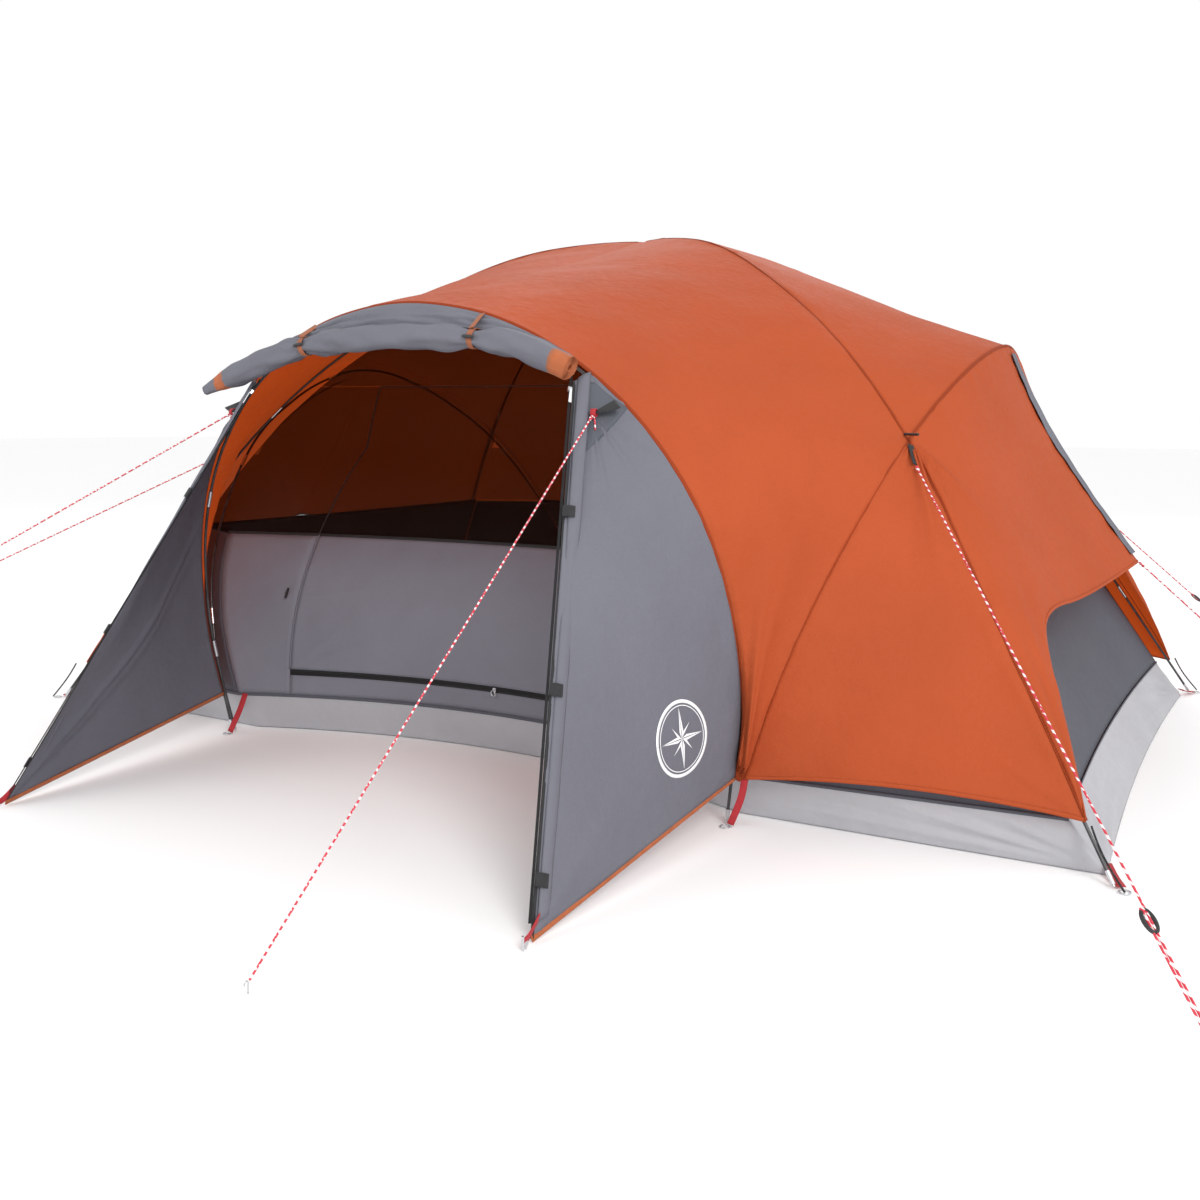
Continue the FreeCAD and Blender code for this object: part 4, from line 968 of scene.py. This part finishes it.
def patch_on(name, grid, corners, lift, steps=14):
    """A four-cornered patch whose corners are rows and columns of a grid."""
    s, t = np.meshgrid(np.linspace(0, 1, steps + 1), np.linspace(0, 1, steps + 1))
    shares = ((1 - s) * (1 - t), s * (1 - t), s * t, (1 - s) * t)
    index = sum(share[..., None] * np.array(corner, float) for share, corner in zip(shares, corners))
    place, out = on_grid(grid, index[..., 0], index[..., 1])
    sheet(name, place + out * lift, "patch", [])


def decal(name, grid, centre, across, patches, nodes):
    """Printed shapes on a grid: each patch is two 2-D lines in metres, filled between."""
    row, column = (np.array(float(at)) for at in centre)
    place, out = on_grid(grid, row, column)
    rows, columns = on_grid(grid, row + 1, column)[0] - place, on_grid(grid, row, column + 1)[0] - place
    side = unit(np.array(across, float) - np.dot(across, out) * out)
    high = np.cross(out, side)
    table = np.linalg.inv(np.array([[rows @ side, columns @ side], [rows @ high, columns @ high]]))
    vertices, faces, uvs = [], [], []
    for first, second, steps in patches:
        t = down_shares(steps + 1)
        flat = np.array(first)[None] * (1 - t) + np.array(second)[None] * t
        index = flat @ table.T
        where, face = on_grid(grid, row + index[..., 0], column + index[..., 1])
        m, n = flat.shape[:2]
        faces += quads(len(vertices) + np.arange(m * n).reshape(m, n))
        vertices += (where + face * 0.0016).reshape(-1, 3).tolist()
        uvs += flat.reshape(-1, 2).tolist()
    thicken(piece(name, vertices, faces, uvs, "print", nodes=nodes), 0.0006, "print")


def compass(size):
    """A plain eight-pointed compass star in a ring."""
    t = np.linspace(0, 2 * math.pi, 97)
    circle = np.stack([np.cos(t), np.sin(t)], axis=1) * size
    patches = [(circle, circle * 0.91, 2), (circle * 0.86, circle * 0.835, 1)]
    for k in range(8):
        long = k % 2 == 0
        at = math.pi / 2 + k * math.pi / 4
        tip = np.array([math.cos(at), math.sin(at)]) * size * (0.79 if long else 0.50)
        for side in (1, -1) if long else (1,):
            turn = at + side * math.pi / (8 if long else 9)
            waist = np.array([math.cos(turn), math.sin(turn)]) * size * 0.20
            gap = np.array([-math.sin(at), math.cos(at)]) * side * size * 0.012
            end = tip + gap * 0.3
            outer_line = np.vstack([np.linspace(gap, waist, 4), np.linspace(waist, end, 12)[1:]])
            patches.append((np.linspace(gap, end, 15), outer_line, 5))
    return patches


badge_at = wing_index(WINGS["right"], *BADGE_AT)
decal("porch_badge", WINGS["right"], badge_at, (0.4, -0.9, 0), compass(0.105), ["porch_emblem"])
for word, grid in WINGS.items():
    shares = ((0.995, 0.80), (0.975, 0.20), (0.885, 0.02), (0.835, 0.77))
    patch_on(f"{word}_wing_patch", grid, [wing_index(grid, *pair) for pair in shares], 0.0016)

# ----------------------------------------------------------- rolled door and its ties

ROLL_LINE = [(0.628, -1.616, 1.312), (0.500, -1.609, 1.366), (0.400, -1.609, 1.390)]
ROLL_LINE += [(0.206, -1.611, 1.411), (-0.050, -1.612, 1.415), (-0.255, -1.611, 1.407)]
ROLL_LINE += [(-0.435, -1.607, 1.381), (-0.645, -1.601, 1.321), (-0.815, -1.592, 1.262)]
ROLL_RADIUS, ROLL_TURNS = 0.038, 8
TIES = (0.303, -0.345)
roll_middle, arch_whole = smooth(ROLL_LINE, 30), over(front_half, FLIP_X)


def between_x(line, high, low):
    """The part of a line between two distances to the side."""
    line = line if line[0][0] > line[-1][0] else line[::-1]
    kept = split(line, line[:, 0] - high)[1]
    return split(kept, kept[:, 0] - low)[0]


def roll_shape():
    """A sheet wound round the roll's line, pinched at the ties and slack between them."""
    line = spread(smooth(ROLL_LINE), 150)
    way = unit(np.gradient(line, axis=0))
    out = unit(np.cross(way, (0, 0, 1)))
    high = np.cross(out, way)
    around = np.linspace(0, 2 * math.pi * ROLL_TURNS, ROLL_TURNS * 22 + 1)[None]
    share = np.linspace(0.30, 1, around.size)[None]
    x, s = line[:, 0], reach_along(line)[:, None]
    pinch = sum(0.34 * np.exp(-(((x - tie) / 0.050) ** 2)) for tie in TIES)
    ends = 0.10 * np.exp(-(((x - 0.63) / 0.03) ** 2)) + 0.62 * ((-0.66 - x) / 0.16).clip(0, 1)
    near = sum(np.exp(-(((x - tie) / 0.16) ** 2)) for tie in TIES)[:, None]
    wave = np.sin(5 * around + 22 * s + 2 * np.sin(7 * s))
    folds = 0.16 * np.sign(wave) * np.abs(wave) ** 0.7 * near
    folds += 0.06 * np.sin(3 * around - 17 * s + 1.3) + 0.05 * np.sin(2 * around + 40 * s)
    folds += 0.035 * np.sin(9 * around - 31 * s + 2 * np.sin(11 * s))
    folds += 0.06 * np.sin(7 * around + 9 * s + 4) * np.exp(-(((x + 0.62) / 0.2) ** 2))[:, None]
    r = (ROLL_RADIUS * (1 - pinch - ends))[:, None] * share * (1 + folds * share**2)
    flat = 1 - 0.10 * np.cos(2 * around) * (1 - near)
    ring = (np.cos(around) * flat)[..., None] * out[:, None] + np.sin(around)[..., None] * high[:, None]
    return line[:, None] + ring * r[..., None], x


roll, roll_x = roll_shape()
made = sheet("rolled_door_cloth", roll, "grey", ["rolled_porch_door"])
for material in ("binding", "brown"):
    made.data.materials.append(M[material])
for polygon in made.data.polygons:
    place = roll_x[polygon.index // (roll.shape[1] - 1)]
    if place > 0.588 or -0.745 < place < -0.700:
        polygon.material_index = 1
    if 0.582 < place < 0.588:
        polygon.material_index = 2


def valance():
    """The cloth between the arch and the roll."""
    top = spread(between_x(arch_whole, 0.600, -0.500), 130) + (0, -0.008, -0.003)
    under = spread(between_x(roll_middle, 0.600, -0.500), 130) + (0, 0.012, 0.030)
    return outward(ruled(top, under, 34), (0, 0, 1.2))


def crescent_folds(grid):
    v, x = np.linspace(0, 1, grid.shape[0])[:, None], grid[:, :, 0]
    belly = np.sin(math.pi * v)
    loose = (np.linalg.norm(grid[0] - grid[-1], axis=1)[None] / 0.09).clip(0, 1)
    slack = 0.010 * belly * loose
    slack = slack - 0.007 * np.exp(-(((v - 0.58 - 0.10 * np.sin(5 * x)) / 0.10) ** 2)) * loose
    slack = slack + 0.004 * np.sin(3.2 * math.pi * v + 6 * x + 1) * belly
    for tie in TIES:
        pull = np.exp(-np.abs(x - tie) / 0.16) * v
        slack = slack + 0.007 * np.sin(5.5 * math.pi * v + 30 * np.abs(x - tie)) * pull * loose
    return slack + ripple(grid, 0.0035, 0.12, 131) * belly


crescent = valance()
folds = crescent_folds(crescent)
sheet("porch_valance_cloth", crescent, "grey", ["porch_valance"], folds)
for number, tie in enumerate(TIES):
    k = int(np.abs(roll_middle[:, 0] - tie).argmin())
    centre, way = roll_middle[k], unit(roll_middle[k + 1] - roll_middle[k - 1])
    out = unit(np.cross(way, (0, 0, 1)))
    out *= -np.sign(out[1])
    high = np.cross(out, way)
    high *= np.sign(high[2])
    r = ROLL_RADIUS * 0.76
    t = np.linspace(math.radians(118), math.radians(-232), 40)[:, None]
    loop = centre + r * (np.cos(t) * out + np.sin(t) * high)
    seam_point = arch_whole[int(np.abs(arch_whole[:, 0] - tie).argmin())] + (0, -0.012, -0.002)
    lead = spread([seam_point, centre + out * r * 0.7 + high * r * 1.02], 8)
    band(f"roll_tie_{number}", loop, loop - centre, 0.020, 0.0022, "brown", nodes=["roll_ties"])
    band(f"roll_tie_lead_{number}", lead, out, 0.020, 0.0022, "brown")
    bar = centre + out * (r + 0.006) + high * 0.004
    radius = 0.0052 * (1 - 0.75 * np.abs(np.linspace(-1, 1, 13)) ** 5)
    tube(f"roll_toggle_{number}", spread([bar - way * 0.021, bar + way * 0.021], 12), radius, "toggle")

# ------------------------------------------------------------------------ inner tent

LOW, SPLIT = TUB_Z + 0.005, 0.003
UNDER, OVER, TOP = WALL_Z - SPLIT, WALL_Z + SPLIT, CROWN_Z - 0.014
FRONT_SAG, BACK_SAG, SIDE_SAG = 0.240, 0.060, 0.035
DOOR_LEFT, DOOR_RIGHT, DOOR_BOTTOM, DOOR_TOP, SILL_TOP = -0.850, 0.520, 0.236, 1.300, 0.214
DOOR = (DOOR_LEFT, DOOR_RIGHT)
INDOORS = (0, 0.5, 0.5)


def end_wall(way, sag):
    """A wall that bows towards the middle, least at its top; way is 1 at the front, -1 at the back."""

    def line(x, z, edge):
        share = 1 - ((z - TUB_Z) / (CROWN_Z - TUB_Z)) ** 2
        y = way * edge[1] + way * sag * share * (1 - (x / edge[0]) ** 2)
        return np.stack([x, y, np.full_like(x, z)], axis=1)

    return line


front_wall, back_wall = end_wall(1, FRONT_SAG), end_wall(-1, BACK_SAG)


def wall_row(wall, ends, z, columns):
    """A level line of a wall; an end that is None is at the inner tent's own edge."""
    edge = at_height(inner_half, z)
    left, right = (own if end is None else end for end, own in zip(ends, (-edge[0], edge[0])))
    return wall(np.linspace(left, right, columns + 1), z, edge)


def wall_patch(wall, ends, low, high, rows, columns):
    return np.array([wall_row(wall, ends, z, columns) for z in np.linspace(low, high, rows + 1)])


def wall_sag(grid, seed, amount=0.003):
    """Loose cloth: soft swells of two sizes that die away at the edges."""
    swells = ripple(grid, amount, 0.5, seed) + ripple(grid, amount * 0.4, 0.13, seed + 1)
    return swells * edge_fade(grid, 0.04)


def door_blend(made):
    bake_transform(made)


def wall_binding(name, wall, ends, z, columns, shift, lean, width, body="tent", thick=0.0020):
    line = wall_row(wall, ends, z, columns) + (0, shift, 0)
    return band(name, line, (0, -1, lean), width, thick, "black", body)


for label, ends, low, high, style, rows, columns in (
    ("front_wall_left", (None, DOOR_LEFT), LOW, UNDER, "wall", 30, 12),
    ("front_wall_right", (DOOR_RIGHT, None), LOW, UNDER, "wall", 30, 26),
    ("front_sill", DOOR, LOW, SILL_TOP, "wall", 4, 70),
    ("front_mesh_left", (None, DOOR_LEFT), OVER, DOOR_TOP, "net", 26, 12),
    ("front_mesh_right", (DOOR_RIGHT, None), OVER, DOOR_TOP, "net", 26, 26),
    ("front_mesh_top", (None, None), DOOR_TOP + 0.004, TOP, "net", 30, 70),
):
    grid = outward(wall_patch(front_wall, ends, low, high, rows, columns), INDOORS)
    target, ease = ("front_wall_cloth", 1) if style == "wall" else ("front_wall_mesh", 0.6)
    sheet(label, grid, style, [target], wall_sag(grid, len(label)) * ease)

for label, low, high, style in (
    ("inner_door_cloth", DOOR_BOTTOM, UNDER, "wall"),
    ("inner_door_mesh", OVER, DOOR_TOP - SPLIT, "net"),
):
    grid = outward(wall_patch(front_wall, DOOR, low, high, 40, 90), INDOORS)
    lift = wall_sag(grid, 171)
    lift += rays(grid, (DOOR_LEFT, -1.1, DOOR_BOTTOM), (1, 0, 0.8), (0, 0, 1), 0.3, 0.006, 6, 9, 45)
    lift += rays(grid, (DOOR_LEFT, -1.1, 0.50), (1, 0, 0), (0, 0, 1), 0.2, 0.005, 5, 10, 60)
    door_blend(sheet(f"{label}_sheet", grid, style, [label], lift * edge_fade(grid, 0.03), body=None))

for number, (x, body) in enumerate(((DOOR_LEFT, "tent"), (DOOR_RIGHT - 0.006, "inner_door"))):
    heights = np.linspace(DOOR_BOTTOM, DOOR_TOP - 0.004, 60)
    line = np.array([wall_row(front_wall, (x, x), z, 0)[0] for z in heights]) + (0, -0.0022, 0)
    low_part, high_part = split(line, line[:, 2] - WALL_Z)
    band(f"door_seam_{number}_low", low_part, (0, -1, 0.3), 0.008, 0.0014, "wall", body)
    band(f"door_seam_{number}_high", high_part, (0, -1, 0.3), 0.007, 0.0014, "black", body)
middle = ("door_middle_binding", front_wall, DOOR, WALL_Z, 60, -0.002, 0.2, 0.012)
door_blend(wall_binding(*middle, body=None))
for number, ends in enumerate(((None, DOOR_LEFT), (DOOR_RIGHT, None))):
    wall_binding(f"front_wall_binding_{number}", front_wall, ends, WALL_Z, 30, -0.002, 0.2, 0.012)
zip_z = (SILL_TOP + DOOR_BOTTOM) / 2
wall_binding("door_zip_tape", front_wall, DOOR, zip_z, 60, 0.004, 0.1, 0.034, thick=0.0014)
wall_binding("door_top_binding", front_wall, DOOR, DOOR_TOP, 60, -0.002, 0.6, 0.006, thick=0.0014)
wall_binding("back_wall_binding", back_wall, (None, None), WALL_Z, 80, -0.002, 0.2, 0.014)

for label, low, high, style, target, rows in (
    ("back_wall_low", LOW, UNDER, "wall", "back_wall_cloth", 26),
    ("back_wall_high", OVER, TOP, "net", "back_wall_mesh", 44),
):
    grid = outward(wall_patch(back_wall, (None, None), low, high, rows, 80))
    sheet(label, grid, style, [target], wall_sag(grid, 181))


def side_row(z):
    edge = at_height(inner["diag_low"], z)
    s = np.linspace(0, 1, 61)[:, None]
    row = edge * (1 - s) + edge * FLIP_Y * s
    row[:, 0] -= SIDE_SAG * 4 * (s * (1 - s))[:, 0]
    return row


def corner_row(z):
    s = np.linspace(0.004, 0.996, 37)[:, None]
    return at_height(inner["side_low"], z) * (1 - s) + at_height(inner["diag_low"], z) * s


for word, flip in SIDES:
    side = flip[0]
    grid = outward(np.array([side_row(z) for z in np.linspace(LOW, UNDER, 27)]) * flip)
    sheet(f"{word}_side_wall_low", grid, "side_wall", ["side_wall_cloth"], wall_sag(grid, 191))
    line = side_row(WALL_Z) * flip + (side * 0.002, 0, 0)
    band(f"{word}_side_wall_binding", line, (side, 0, 0.2), 0.012, 0.0020, "black")
    top, edge = rows_of(inner["side_up"], FLIP_Y, 60), spread(above(inner["diag_low"], OVER)[::-1], 30)
    grid = outward(coons(top, side_row(OVER), edge, edge * FLIP_Y) * flip)
    sheet(f"{word}_side_wall_high", grid, "net", ["side_wall_mesh"], wall_sag(grid, 193))
    grid = outward(side_roof(inner, 44, 0.040)[1:] * flip)
    sheet(f"{word}_roof_mesh_sheet", grid, "net", ["roof_mesh"], wall_sag(grid, 201, 0.002))
for side, end, flip in QUARTERS:
    for part, low, high, style, target, rows in (
        ("low", LOW, UNDER, "side_wall", "corner_wall_cloth", 25),
        ("high", OVER, HUB[2] - 0.09, "net", "corner_wall_mesh", 15),
    ):
        grid = outward(np.array([corner_row(z) for z in np.linspace(low, high, rows)]) * flip)
        sheet(f"{side}_{end}_corner_{part}", grid, style, [target], wall_sag(grid, 197))
lamp_ring = ring_line((0, 0, CROWN_Z - 0.060), (0, 1, 0), 0.016, 28)
band("lamp_loop_ring", lamp_ring, (0, 1, 0), 0.004, 0.003, "black", nodes=["lamp_loop"])

# ------------------------------------------------------------------------- floor tub

GROUND = 0.0015
FLOOR_CORNER, FLOOR_FOOT = np.array([2.030, -1.212, GROUND]), np.array([1.000, -1.238, GROUND])
TUB_FOLDS = ((0.05, 0.012), (0.11, -0.008), (0.18, 0.014), (0.28, -0.009), (0.40, 0.012), (0.62, 0.010))


def parabola(a, middle, b, count, axis):
    """From a to b, bowed along one axis so that the middle reaches a value."""
    s = np.linspace(0, 1, count + 1)[:-1, None]
    line = a * (1 - s) + b * s
    line[:, axis] += (middle - (a[axis] + b[axis]) / 2) * 4 * (s * (1 - s))[:, 0]
    return line


def tub_ring(corner, foot, front, back_y, side_x):
    """Once round the tub, from the right front corner across the front to the left."""
    between = (corner[0] + foot[0]) / 2
    stops = (
        (corner, between, 50, 0),
        (foot, front, 90, 1),
        (foot * FLIP_X, -between, 50, 0),
        (corner * FLIP_X, -side_x, 100, 0),
        (corner * FLIP_X * FLIP_Y, -between, 50, 0),
        (foot * FLIP_X * FLIP_Y, back_y, 90, 1),
        (foot * FLIP_Y, between, 50, 0),
        (corner * FLIP_Y, side_x, 100, 0),
    )
    following = stops[1:] + stops[:1]
    return np.vstack([parabola(a, middle, b[0], *rest) for (a, middle, *rest), b in zip(stops, following)])


def tub_wall(rim_line, floor_line):
    """The tub's wall with its creases, which run out of the lower corners."""
    t = down_shares(29)
    wall = rim_line[None] * (1 - t) + floor_line[None] * t
    creases = ripple(wall, 0.004, 0.30, 211) + ripple(wall, 0.0016, 0.09, 212)
    for *_, flip in QUARTERS:
        off = (wall - np.array([2.03, -1.212, 0.01]) * flip) * flip
        for along, aside in ((-off[..., 0], off[..., 1]), (off[..., 1], off[..., 0])):
            fade = (along / 0.05).clip(0, 1) * np.exp(-((along / 0.62) ** 2)) * (np.abs(aside) < 0.2)
            for slope, height in TUB_FOLDS:
                creases += height * np.exp(-(((off[..., 2] - slope * along) / 0.010) ** 2)) * fade
    creases *= (np.sin(math.pi * t[..., 0]) ** 0.6).clip(0, 1)
    return wall + unit(wall * (1, 1, 0)) * creases[..., None]


floor_line = tub_ring(FLOOR_CORNER, FLOOR_FOOT, -1.035, 1.195, 1.996)
rim_corner, rim_foot = (at_height(inner[part], TUB_Z) for part in ("diag_low", "side_low"))
rim_y = rim_foot[1]
rim_line = tub_ring(rim_corner, rim_foot, rim_y + FRONT_SAG, -rim_y - BACK_SAG, rim_corner[0] - SIDE_SAG)
ground_middle = np.array([0, 0, GROUND])
bottom = ground_middle + (floor_line[None] - ground_middle) * np.linspace(1, 0.02, 30)[1:, None, None]
whole = np.vstack([tub_wall(rim_line, floor_line), bottom])
made = piece("floor_tub_cloth", *grid_data(whole, closed=True), "tub", nodes=["floor_tub"])
thicken(made, THICKNESS["tub"])
rim = np.vstack([rim_line, rim_line[:1]])
out = unit(rim * (1, 1, 0))
band("tub_rim_binding", rim + out * 0.002, out, 0.010, 0.0022, "rim")

# -------------------------------------------------------------- straps and elastics

ORIGIN = np.zeros(3)
FOOT_STRAPS = {
    "right": ((1.062, -1.352, 0.15), (1.066, -1.370, 0.11), (1.046, -1.374, 0.05), (1.030, -1.376, 0.01)),
    "left": ((0.972, -1.322, 0.15), (0.970, -1.345, 0.105), (0.986, -1.366, 0.05), (1.002, -1.376, 0.01)),
}
CORNER_STRAP = ((2.028, -1.205, 0.03), (2.044, -1.235, 0.016), (2.06, -1.268, 0.01), (2.074, -1.296, 0.007))
ELASTIC = ((1.992, -1.286, 0.150), (2.010, -1.300, 0.110), (2.050, -1.322, 0.050), (2.086, -1.336, 0.008))
HUB_LOOP = ((0.01, -0.018, -0.01), (0.022, -0.036, -0.034), (0.034, -0.054, -0.056), (0.04, -0.064, -0.066))
ARCH_LOOP = ((0.740, -1.548, 1.216), (0.722, -1.562, 1.206), (0.706, -1.578, 1.198), (0.690, -1.590, 1.192))
CORD_TAIL = ((0, -0.004, -0.006), (0.010, -0.012, -0.022), (0.012, -0.016, -0.048))

for side, end, flip in QUARTERS:
    mark = f"{side}_{end}"
    foot = points_from(ORIGIN, FOOT_STRAPS[side], flip, 10)
    face = np.array([0.5 * flip[0], -1, 0.2]) * flip
    band(f"{mark}_foot_strap", foot, face, 0.021, 0.0022, "red", nodes=["red_straps"])
    band(f"{mark}_corner_strap", points_from(ORIGIN, CORNER_STRAP, flip), (0, 0, 1), 0.024, 0.0022, "red")
    elastic = points_from(ORIGIN, ELASTIC, flip)
    tube(f"{mark}_hem_elastic", elastic, 0.0028, "elastic", nodes=["hem_elastics"])
    loop, face = points_from(HUB * flip, HUB_LOOP, flip), np.array([1, -0.6, 0.5]) * flip
    band(f"{mark}_hub_loop", loop, face, 0.022, 0.0024, "loop", nodes=["guy_loops"])
for word, flip in SIDES:
    loop = points_from(ORIGIN, ARCH_LOOP, flip)
    width = np.linspace(0.056, 0.016, len(loop))
    band(f"{word}_arch_loop", loop, np.array([0.3, -0.3, 1]) * flip, width, 0.0026, "loop")
    end, aim = GUY_OUT * flip, np.array([0.2, -0.9, -0.35]) * flip
    ring_middle = end + aim * 0.004
    ring = ring_line(ring_middle, np.cross(aim, (0, 0, 1)), 0.011, 24)
    band(f"{word}_arch_ring", ring, ring - ring_middle, 0.016, 0.0022, "red")
    tube(f"{word}_cord_tail", points_from(end, CORD_TAIL, flip), 0.0023, "guy", sides=10)
hang = np.mean([list(end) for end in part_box("door_zip_slider")], axis=0) + (0, -0.010, -0.012)
tube("door_zip_pull_ring", ring_line(hang, (0.25, 1, 0.1), 0.011, 28), 0.0022, "steel", body="door_zip")

# -------------------------------------------------------- CAD pieces that stay as built

STAYS = {
    "pole": "diagonal_pole_over diagonal_pole_under right_side_pole left_side_pole front_arch_pole",
    "steel": "pole_end_tips pole_ferrules ring_pins wing_pegs right_zip_slider left_zip_slider "
    "door_zip_slider",
    "white_plastic": "right_zip_pull left_zip_pull",
    "plastic": "hub_toggles door_tie_toggle",
    "zip": "right_zip_chain left_zip_chain door_zip_chain",
}
for material, names in STAYS.items():
    for name in names.split():
        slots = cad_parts[name].data.materials
        for k in range(len(slots)):
            slots[k] = M[material]
        if not slots:
            slots.append(M[material])
